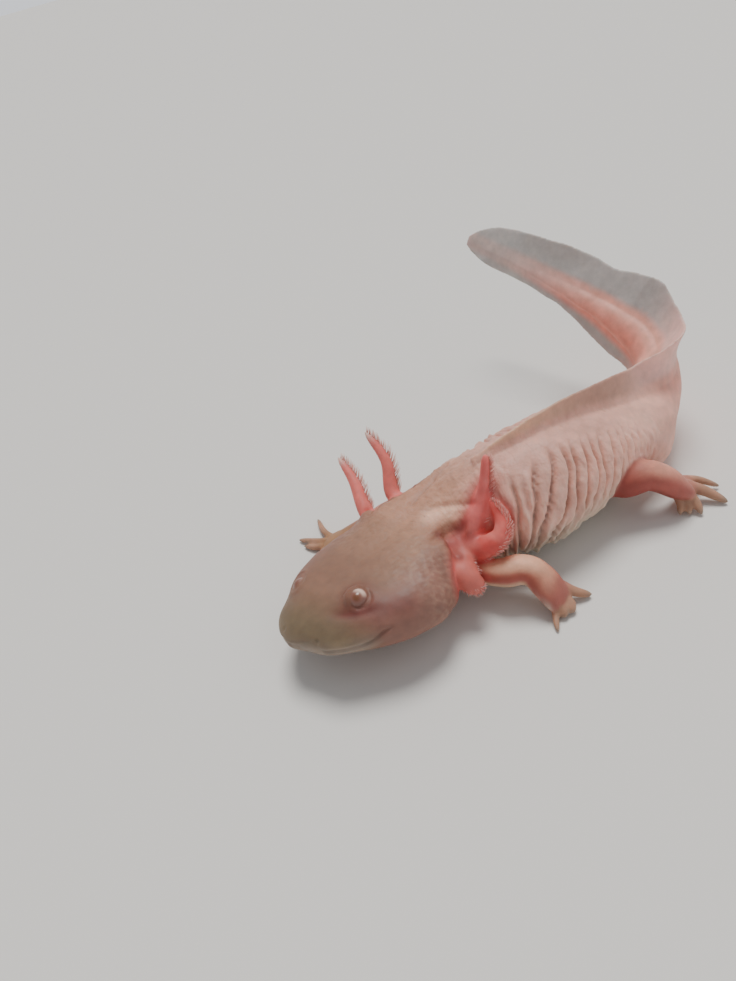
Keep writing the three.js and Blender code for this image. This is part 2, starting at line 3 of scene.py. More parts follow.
import bpy
import numpy as np
from mathutils import Matrix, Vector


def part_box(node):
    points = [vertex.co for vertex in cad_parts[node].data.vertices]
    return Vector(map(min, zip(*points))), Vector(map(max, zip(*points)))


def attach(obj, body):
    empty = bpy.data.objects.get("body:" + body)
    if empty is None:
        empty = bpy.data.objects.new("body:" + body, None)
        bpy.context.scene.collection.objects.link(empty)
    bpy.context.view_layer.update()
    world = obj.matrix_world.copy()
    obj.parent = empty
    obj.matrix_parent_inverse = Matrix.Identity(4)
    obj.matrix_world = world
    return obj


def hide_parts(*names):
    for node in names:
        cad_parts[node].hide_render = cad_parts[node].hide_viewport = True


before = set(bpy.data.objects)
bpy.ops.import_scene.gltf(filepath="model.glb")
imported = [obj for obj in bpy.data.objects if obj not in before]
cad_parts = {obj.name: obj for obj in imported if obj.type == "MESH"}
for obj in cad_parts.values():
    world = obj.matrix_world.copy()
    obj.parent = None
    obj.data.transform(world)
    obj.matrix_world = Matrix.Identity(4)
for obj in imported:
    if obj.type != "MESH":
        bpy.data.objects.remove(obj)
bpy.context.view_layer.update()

mm = 0.001  # shapes are made in millimetres, and turned into metres at the end
scene = bpy.context.scene


def along(pairs):
    # a smooth size along a line through a few [place, size] pairs, which never overshoots one
    x, y = np.array(pairs, float).T
    slope = np.diff(y) / np.diff(x)
    both = slope[:-1] * slope[1:]
    inner = np.where(both > 0, 2 * both / np.where(both > 0, slope[:-1] + slope[1:], 1), 0)
    m = np.concatenate([slope[:1], inner, slope[-1:]])

    def size(s):
        s = np.clip(s, x[0], x[-1])
        i = np.clip(np.searchsorted(x, s, side="right") - 1, 0, len(x) - 2)
        h = x[i + 1] - x[i]
        t = (s - x[i]) / h
        rise = y[i] * (1 + 2 * t) * (1 - t) ** 2 + y[i + 1] * t * t * (3 - 2 * t)
        return rise + h * t * (1 - t) * (m[i] * (1 - t) - m[i + 1] * t)

    return size


def unit(v):
    return v / np.maximum(np.linalg.norm(v, axis=-1, keepdims=True), 1e-9)


def smoothLine(points, count, stepsPerSpan=79):
    # evenly spaced points on a smooth curve through a few, and its length
    p = np.array(points, float)
    p = np.vstack([2 * p[0] - p[1], p, 2 * p[-1] - p[-2]])
    fine = []
    for p0, p1, p2, p3 in zip(p, p[1:], p[2:], p[3:]):
        d0, d1, d2 = (np.linalg.norm(b - a) ** 0.5 for a, b in ((p0, p1), (p1, p2), (p2, p3)))
        m1 = ((p1 - p0) / d0 - (p2 - p0) / (d0 + d1) + (p2 - p1) / d1) * d1
        m2 = ((p2 - p1) / d1 - (p3 - p1) / (d1 + d2) + (p3 - p2) / d2) * d1
        t = np.linspace(0, 1, stepsPerSpan + 1)[:-1, None]
        bend = 3 * (p2 - p1) - 2 * m1 - m2
        fine.append(p1 + t * m1 + t ** 2 * bend + t ** 3 * (2 * (p1 - p2) + m1 + m2))
    fine = np.vstack(fine + [p[-2:-1]])
    far = np.concatenate([[0], np.cumsum(np.linalg.norm(np.diff(fine, axis=0), axis=1))])
    at = np.linspace(0, far[-1], count)
    return np.stack([np.interp(at, far, fine[:, k]) for k in range(3)], axis=1), far[-1]


def between(low, high, x):
    # 0 below low, 1 above high, and smooth in between
    t = np.clip((x - low) / (high - low), 0, 1)
    return t * t * (3 - 2 * t)


def hump(x, width):
    # 1 at 0, and next to nothing past twice the width
    return np.exp(-((x / width) ** 2))


def turned(v, axis, angle):
    # directions square to an axis, turned about it
    c, s = np.cos(angle)[..., None], np.sin(angle)[..., None]
    return v * c + np.cross(axis, v) * s


def paint(code):
    # a colour as it looks on a screen, such as "d8b4a6", in the numbers that light adds up in
    c = np.array([int(code[i:i + 2], 16) for i in (0, 2, 4)]) / 255
    return np.where(c < 0.04045, c / 12.92, ((c + 0.055) / 1.055) ** 2.4)


def ripple(p, size, seed, octaves=3):
    # smooth noise over points, about -1 to 1, whose bumps are size across
    draw = np.random.default_rng(seed)
    waves, fade = 9, 0.55  # waves in an octave, and the share of it that the next one has
    total, weight = np.zeros(len(p)), 0
    for octave in range(octaves):
        share = fade ** octave
        for _ in range(waves):
            way = unit(draw.normal(size=3)) * draw.uniform(0.6, 1.4)
            wave = 2 * np.pi * 2 ** octave / size
            total += share * np.sin(p @ way * wave + draw.uniform(0, 2 * np.pi))
        weight += share
    return total / (weight * math.sqrt(waves))


# The middle line of the body, in mm. A station is a distance along it from the snout.
spinePoints = [
    [-26.2, -67.2, 13], [-16, -58.8, 12.4], [-4.7, -52.2, 11.5], [5.8, -45.8, 11.2],
    [14, -40.2, 11.8], [26, -37.2, 13.2], [40, -36.6, 14.4], [53, -31.8, 14.6],
    [67, -25.6, 13.8], [80.5, -18.6, 13.5], [89, -10.5, 14.8], [93.8, -1.5, 17.4],
    [93.5, 6, 20.4], [89.6, 14, 24], [83, 25, 29.2], [75.5, 38, 34.4], [68, 51.5, 38.8],
    [59, 68.9, 42.9],
]
spine, length = smoothLine(spinePoints, 1201)
spineStations = np.linspace(0, length, len(spine))
spineBack = unit(np.gradient(spine, axis=0))
tailEnd = length - 8  # where the flesh ends inside the fin

bodySizes = {  # [station, size in mm] pairs, as far as the end of the flesh
    "halfWidth": [
        [0, 4.2], [1.5, 8.2], [5, 12], [8.5, 14.5], [12.5, 16.8], [17, 19.3], [23, 21], [28, 20.9],
        [34, 18.8], [40, 16], [47, 14.6], [58, 15.4], [74, 17], [92, 16.6], [108, 14], [120, 11.2],
        [132, 8], [145, 5.4], [157, 4.2], [172, 2.9], [192, 1.6], [tailEnd, 0.8],
    ],
    "topHeight": [
        [0, 1.6], [1.5, 2.9], [5, 4.5], [9, 5.9], [12.5, 7.1], [22, 8.6], [32, 9.6], [42, 10.4],
        [53, 12.1], [60, 14.3], [67, 16.1], [74, 17.1], [80, 17.3], [86, 16.4], [93, 15],
        [104, 12.6], [120, 9.8], [135, 8.2], [145, 7.1], [157, 6.1], [172, 4.9], [192, 3.2],
        [tailEnd, 1.8],
    ],
    "bottomDepth": [
        [0, 1.6], [1.5, 2.6], [5, 3.8], [9, 4.7], [12.5, 5.7], [22, 7.8], [32, 9.2], [42, 10.6],
        [56, 13.2], [70, 14.8], [92, 15], [106, 14], [118, 12.4], [132, 9], [145, 4.8], [157, 3],
        [172, 1.2], [192, 0.6], [tailEnd, 0.5],
    ],
    "squareness": [[0, 2.3], [20, 2.5], [40, 2.4], [60, 2.2], [110, 2.1], [130, 2]],  # 2 is an oval
    "rollDegrees": [[0, -9], [32, -9], [58, 0], [118, 0], [145, 24], [168, 30], [length, 24]],
}
halfWidth, topHeight, bottomDepth, squareness, rollDegrees = map(along, bodySizes.values())


def frameAt(s, lean=0.0):
    # point, tailward, leftward and upward directions at stations
    s = np.asarray(s, float)
    at = np.stack([np.interp(s, spineStations, spine[:, k]) for k in range(3)], -1)
    back = unit(np.stack([np.interp(s, spineStations, spineBack[:, k]) for k in range(3)], -1))
    left = unit(np.cross(back, [0.0, 0.0, 1.0]))
    up = unit(np.cross(left, back))
    turn = np.radians(rollDegrees(s) + lean)
    return at, back, turned(left, back, turn), turned(up, back, turn)


def place(s, left, up, back=0.0, lean=0.0):
    # the point that lies so far to the left, above and behind the middle line at a station
    at, behind, sideways, upward = frameAt(s, lean)
    grown = [np.asarray(x, float)[..., None] for x in (left, up, back)]
    return at + sideways * grown[0] + upward * grown[1] + behind * grown[2]


# where the flesh stands out further: station, angle round the body (0 is left, 90 is up),
# length, spread in degrees, amount
swells = [
    [32, -12, 7, 32, 1.7], [32, 192, 7, 32, 0.6],  # cheeks
    [11, -16, 4.5, 20, 1.3], [11, 196, 4.5, 20, 1.0],  # corners of the jaw
    [10, 170, 3.6, 26, -1.3], [2, 205, 4.5, 45, -0.9],
    [62, 116, 15, 30, -1.7], [82, 122, 13, 26, -1.2],  # the back slopes away beyond the fin
    [41, 148, 6.5, 26, 2.9], [40, 38, 5, 18, 0.8],  # muscle over the roots of the gills
    [47, 30, 4.6, 14, -1.0], [53, 26, 4.5, 14, -0.8],  # hollow between the cheek and the gills
    [90, -34, 13, 26, -2.0], [90, 214, 13, 26, -1.5],  # belly, drawn in before the hind legs
    [104, -30, 8, 34, -1.7], [126, -8, 7, 34, -0.8], [116, -36, 5, 24, 1.9],
]


def swell(s, angle):
    total = 0
    for station, turn, size, spread, amount in swells:
        away = (np.degrees(angle) - turn + 180) % 360 - 180
        total = total + amount * np.exp(-((s - station) / size) ** 2 - (away / spread) ** 2)
    return total


def reach(s, angle):
    # from the line to the skin, in a direction round the body
    n = squareness(s)
    high = np.where(np.sin(angle) > 0, topHeight(s), bottomDepth(s))
    c, d = np.abs(np.cos(angle)) / halfWidth(s), np.abs(np.sin(angle)) / high
    return (c ** n + d ** n + 1e-12) ** (-1 / n) + swell(s, angle)


def bodyPlaces(p, chunk=4000, skip=3):
    # station, distance to the left and distance above the line, for each point
    s = np.empty(len(p))
    for i in range(0, len(p), chunk):
        gap = ((p[i:i + chunk, None] - spine[::skip][None]) ** 2).sum(-1)
        s[i:i + chunk] = spineStations[::skip][gap.argmin(1)]
    for _ in range(2):
        at, back, left, up = frameAt(s)
        s = np.clip(s + ((p - at) * back).sum(-1), 0, length)
    at, back, left, up = frameAt(s)
    return s, ((p - at) * left).sum(-1), ((p - at) * up).sum(-1)


studio = {
    # the camera, tilted in degrees, and the place in mm that it looks at
    "pitch": 38, "roll": 16, "distance": 230 * mm, "lens": 26.42, "aim": (-36.196, 2.264, 0),
    "key": {"height": 68, "turn": 160, "angle": 26, "strength": 2.6, "colour": (1.0, 0.985, 0.96)},
    "fill": {"height": 35, "turn": 60, "angle": 60, "strength": 0.25,
             "colour": (0.95, 0.975, 1.0)},
    "air": (0.93, 0.95, 1, 1), "overhead": 0.35, "horizon": 1.0, "horizonHeights": (0.02, 0.25),
    "floor": "e9e6e1", "floorRoughness": 0.8, "floorReach": 30.0, "floorDrop": 1e-4,  # in m
}


def nodeIn(tree, kind, values=None, **settings):
    # a new node, with its settings and the values of its sockets
    node = tree.nodes.new(kind)
    for key, value in settings.items():
        setattr(node, key, value)
    for key, value in (values or {}).items():
        node.inputs[key].default_value = value
    return node


def newMaterial(name, values):
    material = bpy.data.materials.new(name)
    material.use_nodes = True
    shader = material.node_tree.nodes["Principled BSDF"]
    for key, value in values.items():
        shader.inputs[key].default_value = value
    return material, material.node_tree, shader


def makeCamera(v):
    pitch, roll = math.radians(v["pitch"]), math.radians(v["roll"])
    forward = np.array([0, math.cos(pitch), -math.sin(pitch)])
    right, up = np.array([1.0, 0, 0]), np.array([0, math.sin(pitch), math.cos(pitch)])
    tilted = math.cos(roll) * right - math.sin(roll) * up
    camera = bpy.data.objects.new("camera", bpy.data.cameras.new("camera"))
    scene.collection.objects.link(camera)
    axes = np.array([tilted, math.sin(roll) * right + math.cos(roll) * up, -forward]).T
    camera.matrix_world = Matrix(axes.tolist()).to_4x4()
    camera.location = np.array(v["aim"]) * mm - forward * v["distance"]
    camera.data.lens = v["lens"]
    camera.data.clip_start = 0.01
    scene.camera = camera


def makeLamp(name, v):
    # a far, soft light: its height and turn over the floor, and how wide it looks, in degrees
    lamp = bpy.data.objects.new(name, bpy.data.lights.new(name, "SUN"))
    lamp.data.energy, lamp.data.color = v["strength"], v["colour"]
    lamp.data.angle = math.radians(v["angle"])
    lamp.rotation_euler = (math.radians(90 - v["height"]), 0, math.radians(v["turn"]))
    scene.collection.objects.link(lamp)


def makeAir(v):
    # brighter near the horizon, where it meets the floor
    world = bpy.data.worlds.new("studio")
    world.use_nodes = True
    tree = world.node_tree
    sky = tree.nodes["Background"]
    sky.inputs["Color"].default_value = v["air"]
    height = nodeIn(tree, "ShaderNodeSeparateXYZ")
    tree.links.new(nodeIn(tree, "ShaderNodeTexCoord").outputs["Generated"], height.inputs[0])
    low, high = v["horizonHeights"]
    fade = nodeIn(tree, "ShaderNodeMapRange", {"From Min": low, "From Max": high,
                                               "To Min": v["horizon"], "To Max": v["overhead"]})
    tree.links.new(height.outputs["Z"], fade.inputs["Value"])
    tree.links.new(fade.outputs["Result"], sky.inputs["Strength"])
    scene.world = world


def makeFloor(v):
    far, drop = v["floorReach"], -v["floorDrop"]
    corners = [(x * far, y * far, drop) for x, y in ((-1, -1), (1, -1), (1, 1), (-1, 1))]
    mesh = bpy.data.meshes.new("floor")
    mesh.from_pydata(corners, [], [(0, 1, 2, 3)])
    floor = bpy.data.objects.new("floor", mesh)
    scene.collection.objects.link(floor)
    material, _, _ = newMaterial("floorPaint", {"Base Color": (*paint(v["floor"]), 1),
                                                "Roughness": v["floorRoughness"]})
    mesh.materials.append(material)


makeCamera(studio)
makeLamp("key", studio["key"])
makeLamp("fill", studio["fill"])
makeAir(studio)
makeFloor(studio)
print("studio ready")


def ringMesh(rings):
    # a closed mesh through rings (count, sides, 3), with a fan at each end
    count, sides = rings.shape[:2]
    points = np.vstack([rings.reshape(-1, 3), rings[0].mean(0), rings[-1].mean(0)])
    r, i = np.meshgrid(np.arange(count - 1), np.arange(sides), indexing="ij")
    a, b = r * sides + i, r * sides + (i + 1) % sides
    faces = np.stack([a, a + sides, b + sides, b], -1).reshape(-1, 4).tolist()
    end, first = (count - 1) * sides, count * sides
    for k in range(sides):
        n = (k + 1) % sides
        faces += [[first, k, n], [first + 1, end + n, end + k]]
    return points, faces


bodyMesh = {
    "snoutStations": [0, 0.15, 0.4, 0.8, 1.4, 2.1, 3],  # close together where it is round
    "first": 3.7, "step": 0.7, "sides": 96,
    "bluntness": 1.5, "bluntLength": 8,  # the snout's left corner is drawn back, in mm
}


def bodyRings(v):
    stations = np.concatenate([v["snoutStations"], np.arange(v["first"], tailEnd, v["step"]),
                               [tailEnd]])
    angle = np.linspace(0, 2 * np.pi, v["sides"], endpoint=False)
    s, turn = np.meshgrid(stations, angle, indexing="ij")
    wide = np.cos(turn)
    n = 2 / squareness(s)
    high = np.where(np.sin(turn) > 0, topHeight(s), bottomDepth(s))
    left = halfWidth(s) * np.sign(wide) * np.abs(wide) ** n
    up = high * np.sign(np.sin(turn)) * np.abs(np.sin(turn)) ** n
    far = np.hypot(left, up)
    grown = 1 + swell(s, np.arctan2(up, left)) / far
    blunted = (v["bluntness"] * np.clip(1 - s / v["bluntLength"], 0, 1) ** 2
               * between(-0.9, 0.6, left / halfWidth(s)))
    rings = place(s, left * grown, up * grown, blunted)
    rings[..., 2] = np.maximum(rings[..., 2], 0)
    return rings


finSizes = {  # how high over, or deep under, the line the edge lies
    "upper": [[64, 15.6], [66.5, 16.9], [70, 18.6], [74, 20.0], [80, 21.3], [87, 21.3], [98, 20.5],
              [109, 19.4], [118, 18], [126, 18.6], [133, 19.4], [140, 18], [145.5, 16],
              [150, 16.3], [156, 18.4], [164, 16.6], [172, 14.1], [178, 14.3], [186, 13.6],
              [198, 11.8], [210, 9.6], [217, 7.6], [222, 5.0], [length, 1.6]],
    "lower": [[122, 11.4], [128, 11], [134, 10.4], [141, 9.4], [148, 8.8], [157, 8.5],
              [165, 7.2], [175, 4.9], [184, 3.9], [198, 4.2], [210, 4.6], [217, 4.0], [222, 2.8],
              [length, 0.8]],
    "lean": [[61, 0], [118, 0], [128, 5], [140, 2], [150, 0]],
    "root": [[61, 1.3], [95, 1.8], [112, 3.4], [130, 3.6], [145, 2.4], [165, 1.4], [length, 0.8]],
    "edge": 0.4, "step": 0.6,
    "wave": [[61, 0], [110, 0.1], [135, 0.6], [200, 0.9], [length, 0.6]],
    "waveLength": 41, "lowerPhase": 2.2, "crimp": 0.12, "crimpLength": 16,
    # the section, from inside the body (below 0) to the edge (1), and how thick it is there
    "share": [-0.4, 0, 0.12, 0.3, 0.5, 0.7, 0.86, 0.96, 1.0],
    "taper": [1.25, 1, 0.74, 0.45, 0.24, 0.1, 0.02, -0.08, -0.6],
    "rooted": 1.6, "rootedTip": 1.6,  # how deep it is rooted, and how much deeper at the tip
    "thickest": 0.75, "deepest": 4.0,  # of the body's half width, and in mm
}


def finRings(v, way):
    # a blade from inside the body to the fin's edge, a little wavy on the tail
    pairs = v["upper"] if way > 0 else v["lower"]
    stations = np.arange(pairs[0][0], length - 0.3, v["step"])
    edge = along(pairs)(stations)
    edge = edge + v["crimp"] * ripple(stations[:, None] * np.ones(3), v["crimpLength"], 5, 2)
    body = (topHeight if way > 0 else bottomDepth)(stations)
    lean = along(v["lean"])(stations) if way > 0 else np.zeros(len(stations))
    phase = 2 * np.pi * stations / v["waveLength"] + (0 if way > 0 else v["lowerPhase"])
    sway = along(v["wave"])(stations) * np.sin(phase)
    share, taper = np.array(v["share"]), np.array(v["taper"])
    root = np.minimum(along(v["root"])(stations), v["thickest"] * halfWidth(stations))
    half = v["edge"] + taper * np.where(taper > 0, root[:, None] - v["edge"], v["edge"])
    # past the end of the flesh the two fins reach each other
    rooted = v["rooted"] + v["rootedTip"] * between(tailEnd - 6, tailEnd - 2, stations)
    inside = (np.minimum(body, v["deepest"]) * rooted)[:, None] * share
    up = body[:, None] + np.where(share < 0, inside, share * (edge - body)[:, None])
    aside = sway[:, None] * np.clip(share, 0, 1) ** 1.6
    left = np.concatenate([aside + half, (aside - half)[:, ::-1]], 1)
    up = np.concatenate([up, up[:, ::-1]], 1)
    s = np.repeat(stations[:, None], left.shape[1], 1)
    return place(s, left, way * up, lean=lean[:, None])


def tubeRings(points, sizes, sides, steps, fringe=None):
    # a bent tube whose section is [share, half width, half height]
    line, _ = smoothLine(points, steps + 1)
    share = np.linspace(0, 1, steps + 1)
    wide, high = (along([[p[0], p[k]] for p in sizes])(share) for k in (1, 2))
    back = unit(np.gradient(line, axis=0))
    if fringe is None:
        left = unit(np.cross([0.0, 0.0, 1.0], back))
    else:
        left = unit(np.array(fringe) - back * (back @ np.array(fringe))[:, None])
    up = unit(np.cross(back, left))
    angle = np.linspace(0, 2 * np.pi, sides, endpoint=False)
    out = (left[:, None] * (wide[:, None] * np.cos(angle))[..., None]
           + up[:, None] * (high[:, None] * np.sin(angle))[..., None])
    return line[:, None] + out


legs = {
    "armSizes": [[0, 3.6, 3.6], [0.25, 3.3, 3.3], [0.4, 3.5, 3.5], [0.52, 3.9, 3.8],
                 [0.63, 3.8, 3.7], [0.8, 4.2, 3.1], [0.93, 4.4, 2.2], [1, 3.8, 1.6]],
    "legSizes": [[0, 4.2, 4.2], [0.3, 4.7, 4.7], [0.45, 4.3, 4.3], [0.6, 3.9, 4.0],
                 [0.75, 3.9, 3.6], [0.93, 3.9, 2.4], [1, 3.2, 1.5]],
    "lines": {
        "foreleg_left": [[21, -47, 9], [23, -56, 9.1], [26.9, -59, 9.6], [30.3, -59.7, 10],
                         [32.9, -60.9, 9.6], [34.5, -62.4, 8.2], [35.9, -64.4, 6.2],
                         [37.2, -65.9, 4], [38, -66.9, 2.3]],
        "foreleg_right": [[21, -30, 9], [13, -21.6, 8.5], [4, -23.6, 8], [-3.4, -25.6, 6.6],
                          [-9.4, -24.8, 4.4], [-12.8, -22.9, 2.8], [-15.2, -21.4, 1.7]],
        "hindleg_left": [[62.5, -33, 11], [65.2, -41.4, 12.2], [68.9, -42.4, 12.6],
                         [71.6, -42.6, 12.5], [73.7, -43.5, 11.8], [75.9, -44, 10.2],
                         [78.4, -44.2, 7.6], [80.7, -43.8, 5], [82.2, -43.3, 3]],
        "hindleg_right": [[73, -17, 9], [72.5, -9.5, 10], [68.5, -5, 9.8], [65.5, -2.6, 7],
                          [63, -0.8, 4], [60.8, 0.6, 1.9]],
    },
    # toes: root, middle, tip and thickness
    "toes": {
        "foreleg_left": [
            [[38.8, -62.8, 4.2], [42.2, -64.8, 2.4], [46, -65.8, 0.7], 1.35],
            [[38.2, -65.6, 2.6], [39.7, -67.5, 1.9], [39.4, -69.8, 0.9], 1.5],
            [[37.6, -66.8, 2.4], [37.6, -68.6, 1.8], [37, -70.4, 0.9], 1.45],
            [[36.2, -67, 2.3], [35.1, -70.2, 1.3], [34.2, -73.7, 0.5], 0.85]],
        "foreleg_right": [
            [[-14.2, -20, 2.2], [-16.2, -14.8, 1.5], [-17.4, -7.8, 0.6], 0.95],
            [[-15.6, -20.8, 1.9], [-20, -18, 1.4], [-24.2, -14.8, 0.6], 1.0],
            [[-16, -22, 1.7], [-19.4, -20.9, 1.2], [-22.9, -18.2, 0.6], 0.95],
            [[-16, -23.4, 1.7], [-18.2, -24.1, 1.2], [-19.9, -24.6, 0.7], 1.0]],
        "hindleg_left": [
            [[80.9, -40.6, 6], [86.8, -40.2, 3.8], [92.5, -41.9, 0.7], 1.15],
            [[81.2, -42.4, 5.6], [86.3, -44.2, 3.3], [91.1, -48.5, 0.7], 1.55],
            [[80.8, -43.6, 5], [82.6, -46.6, 3.1], [83.1, -50.1, 0.7], 1.35],
            [[80.2, -44, 4.8], [80.7, -46.7, 2.8], [80.3, -49.1, 0.6], 1.15],
            [[79, -44, 5], [78.9, -46.5, 2.8], [78.1, -48.1, 0.6], 1.15]],
        "hindleg_right": [
            [[62.5, 1, 2], [65, 3.8, 1.5], [67, 7, 0.7], 1.0],
            [[61, 1.6, 2], [61.4, 4.8, 1.5], [61, 8.6, 0.7], 1.1],
            [[59.6, 1.4, 2], [57.2, 3.8, 1.5], [55, 6.4, 0.7], 1.0],
            [[59, 0.6, 2], [55.8, 0.9, 1.4], [52.5, 1.6, 0.6], 0.9],
            [[59.4, -0.6, 2], [56.4, -2.2, 1.4], [53.5, -4, 0.6], 0.85]],
    },
    "toeSizes": [[0, 1.35, 1.2], [0.3, 1.1, 1.0], [0.65, 0.9, 0.85], [0.88, 0.66, 0.62],
                 [1, 0.28, 0.28]],
}


def toeShape(toe):
    root, middle, tip, thick = toe
    return [root, middle, tip], [[q[0], thick * q[1], thick * q[2]] for q in legs["toeSizes"]]


gills = {
    "flatness": 0.88,
    "slender": [[0, 2.7], [0.3, 2.1], [0.65, 1.5], [0.9, 0.95], [1, 0.3]],
    "radius": {
        "gill_left_upper": [[0, 2.2], [0.25, 2.1], [0.42, 1.85], [0.6, 1.5], [0.8, 1.25],
                            [0.95, 1.0], [1, 0.45]],
        "gill_left_middle": [[0, 3.3], [0.25, 3.2], [0.42, 2.8], [0.6, 2.2], [0.75, 1.75],
                             [0.9, 1.2], [1, 0.4]],
        "gill_left_lower": [[0, 3.0], [0.25, 3.6], [0.5, 3.8], [0.8, 3.1], [0.95, 1.9], [1, 1]],
    },
    "lines": {
        "gill_left_upper": [[20.7, -51.4, 16.0], [22.0, -51.2, 18.8], [23.6, -49.9, 20.8],
                            [25.4, -48.5, 23.0], [26.6, -47.3, 25.5], [27.6, -46.6, 28.5],
                            [28.4, -46.0, 31.5], [29.4, -44.9, 35.8]],
        "gill_left_middle": [[18, -51.3, 13.5], [21, -53.1, 14.5], [23.6, -54.6, 15.5],
                             [25.8, -55.5, 17], [27.9, -55.4, 18.5], [29.1, -53.9, 20.5],
                             [29, -52, 22.5], [28.3, -50.6, 24.5], [27.7, -49.5, 26]],
        "gill_left_lower": [[17.6, -52.5, 14.0], [17.1, -57.4, 13.5], [17.5, -60.1, 12.5],
                            [18.8, -61.4, 11.5], [20.7, -61.2, 10.5]],
        "gill_right_upper": [[9, -32, 14], [6.3, -25.5, 17], [7, -19.5, 23.5], [3.6, -12, 30]],
        "gill_right_middle": [[0, -34, 13], [-2.3, -27.6, 16], [-3.2, -20, 20.5],
                              [-5.6, -12.8, 24.6]],
        "gill_right_lower": [[4, -35, 9], [1.4, -31, 9], [-0.4, -28.4, 9.3], [-2, -26.4, 9.6]],
    },
    "fringe": {
        "gill_left_upper": [1, 0.2, -0.2], "gill_left_middle": [0.9, -0.5, 0.1],
        "gill_left_lower": [0.5, -0.5, -0.8], "gill_right_upper": [1, 0.2, 0],
        "gill_right_middle": [1, 0.2, 0], "gill_right_lower": [-0.4, 0.6, 0.2],
    },
}


def gillRadius(name):
    return gills["radius"].get(name, gills["slender"])


# the muscle that runs from the back of the head into each upper gill
ridges = {
    1: {"line": [[11.2, -38.5, 14.4], [13.8, -41.8, 16.5], [16.3, -45.3, 18.2], [18.6, -47.2, 18.2],
                 [20.4, -47.5, 16.8]],
        "sizes": [[0, 2.3, 2.3], [0.35, 3.0, 2.8], [0.75, 2.7, 2.5], [1, 1.9, 1.9]]},
    -1: {"line": [[1, -41, 18.0], [3.6, -37.6, 18.6], [5.6, -33.6, 18.2], [6.8, -29.5, 17.2]],
         "sizes": [[0, 1.4, 1.4], [0.4, 2.0, 1.9], [1, 2.2, 2.2]]},
}

eyes = {
    "left": {"station": 14.6, "aside": 8.7, "up": 5.8, "back": 1.2},
    "right": {"station": 14.2, "aside": 10.1, "up": 3.1, "back": -1.2},
    "bulge": 3.3, "radius": 2.6, "standsOut": 0.95,
    "outward": (0.7, 0.7, -0.1), "look": (0.51, 0.74, -0.44),  # aside, up and back
}


def eyePlace(side, out=0.0):
    # the middle of an eye, or a place further out of the head
    v = eyes["left" if side > 0 else "right"]
    aside, up, back = (out * x for x in eyes["outward"])
    return place(v["station"], side * (v["aside"] + aside), v["up"] + up, v["back"] + back)


def eyeAxis(side):
    _, behind, left, upward = frameAt(eyes["left"]["station"])
    aside, up, back = eyes["look"]
    return unit(side * aside * left + up * upward + back * behind)


def ballMesh(centre, radius, count=32):
    turn = np.linspace(0, np.pi, count // 2 + 1)[1:-1]
    angle = np.linspace(0, 2 * np.pi, count, endpoint=False)
    out = np.stack([np.sin(turn)[:, None] * np.cos(angle), np.sin(turn)[:, None] * np.sin(angle),
                    np.repeat(np.cos(turn)[:, None], count, 1)], -1)
    return ringMesh(centre + radius * out[::-1])


def roundSizes(pairs, flatness=1.0):
    return [[t, r, r * flatness] for t, r in pairs]


def fleshShapes():
    # every overlapping closed shape that the one skin is drawn over
    shapes = [ringMesh(bodyRings(bodyMesh))]
    shapes += [ringMesh(finRings(finSizes, way)) for way in (1, -1)]
    for name, line in legs["lines"].items():
        sizes = legs["armSizes"] if "fore" in name else legs["legSizes"]
        shapes.append(ringMesh(tubeRings(line, sizes, 28, 60)))
        for toe in legs["toes"][name]:
            shapes.append(ringMesh(tubeRings(*toeShape(toe), 16, 22)))
    for name, line in gills["lines"].items():
        sizes = roundSizes(gillRadius(name), gills["flatness"])
        shapes.append(ringMesh(tubeRings(line, sizes, 24, 60, gills["fringe"][name])))
    for side in (1, -1):
        v = ridges[side]
        shapes.append(ringMesh(tubeRings(v["line"], v["sizes"], 20, 30)))
        shapes.append(ballMesh(eyePlace(side), eyes["bulge"]))
    return shapes


# one skin is drawn over them all
skinShape = {
    "voxel": 0.36, "quickVoxel": 1.35,  # mm: the voxel size, and a coarser one
    "fillets": 18, "filletReach": 1.3, "faces": 192000,
    "grooves": 1.55, "unevenness": 0.16, "pebbles": 0.1, "creases": 0.3,  # heights in mm
}


def joined(shapes):
    points, faces, first = [], [], 0
    for p, f in shapes:
        points.append(p)
        faces += [[i + first for i in face] for face in f]
        first += len(p)
    return np.vstack(points), faces


def newMesh(name, points, faces):
    mesh = bpy.data.meshes.new(name)
    mesh.from_pydata(points.tolist(), [], faces)
    mesh.update()
    return mesh


def withModifier(mesh, kind, **settings):
    # the mesh that a modifier makes of this one
    holder = bpy.data.objects.new("holder", mesh)
    scene.collection.objects.link(holder)
    modifier = holder.modifiers.new("shape", kind)
    for key, value in settings.items():
        setattr(modifier, key, value)
    graph = bpy.context.evaluated_depsgraph_get()
    made = bpy.data.meshes.new_from_object(holder.evaluated_get(graph))
    bpy.data.objects.remove(holder)
    return made


def meshPoints(mesh):
    flat = np.empty(len(mesh.vertices) * 3, np.float32)
    mesh.vertices.foreach_get("co", flat)
    return flat.reshape(-1, 3).astype(float)


def meshEdges(mesh):
    flat = np.empty(len(mesh.edges) * 2, np.int32)
    mesh.edges.foreach_get("vertices", flat)
    return flat.reshape(-1, 2)


def meshNormals(mesh, points):
    mesh.vertices.foreach_set("co", points.astype(np.float32).ravel())
    mesh.update()
    flat = np.empty(len(mesh.vertices) * 3, np.float32)
    mesh.vertex_normals.foreach_get("vector", flat)
    return flat.reshape(-1, 3).astype(float)


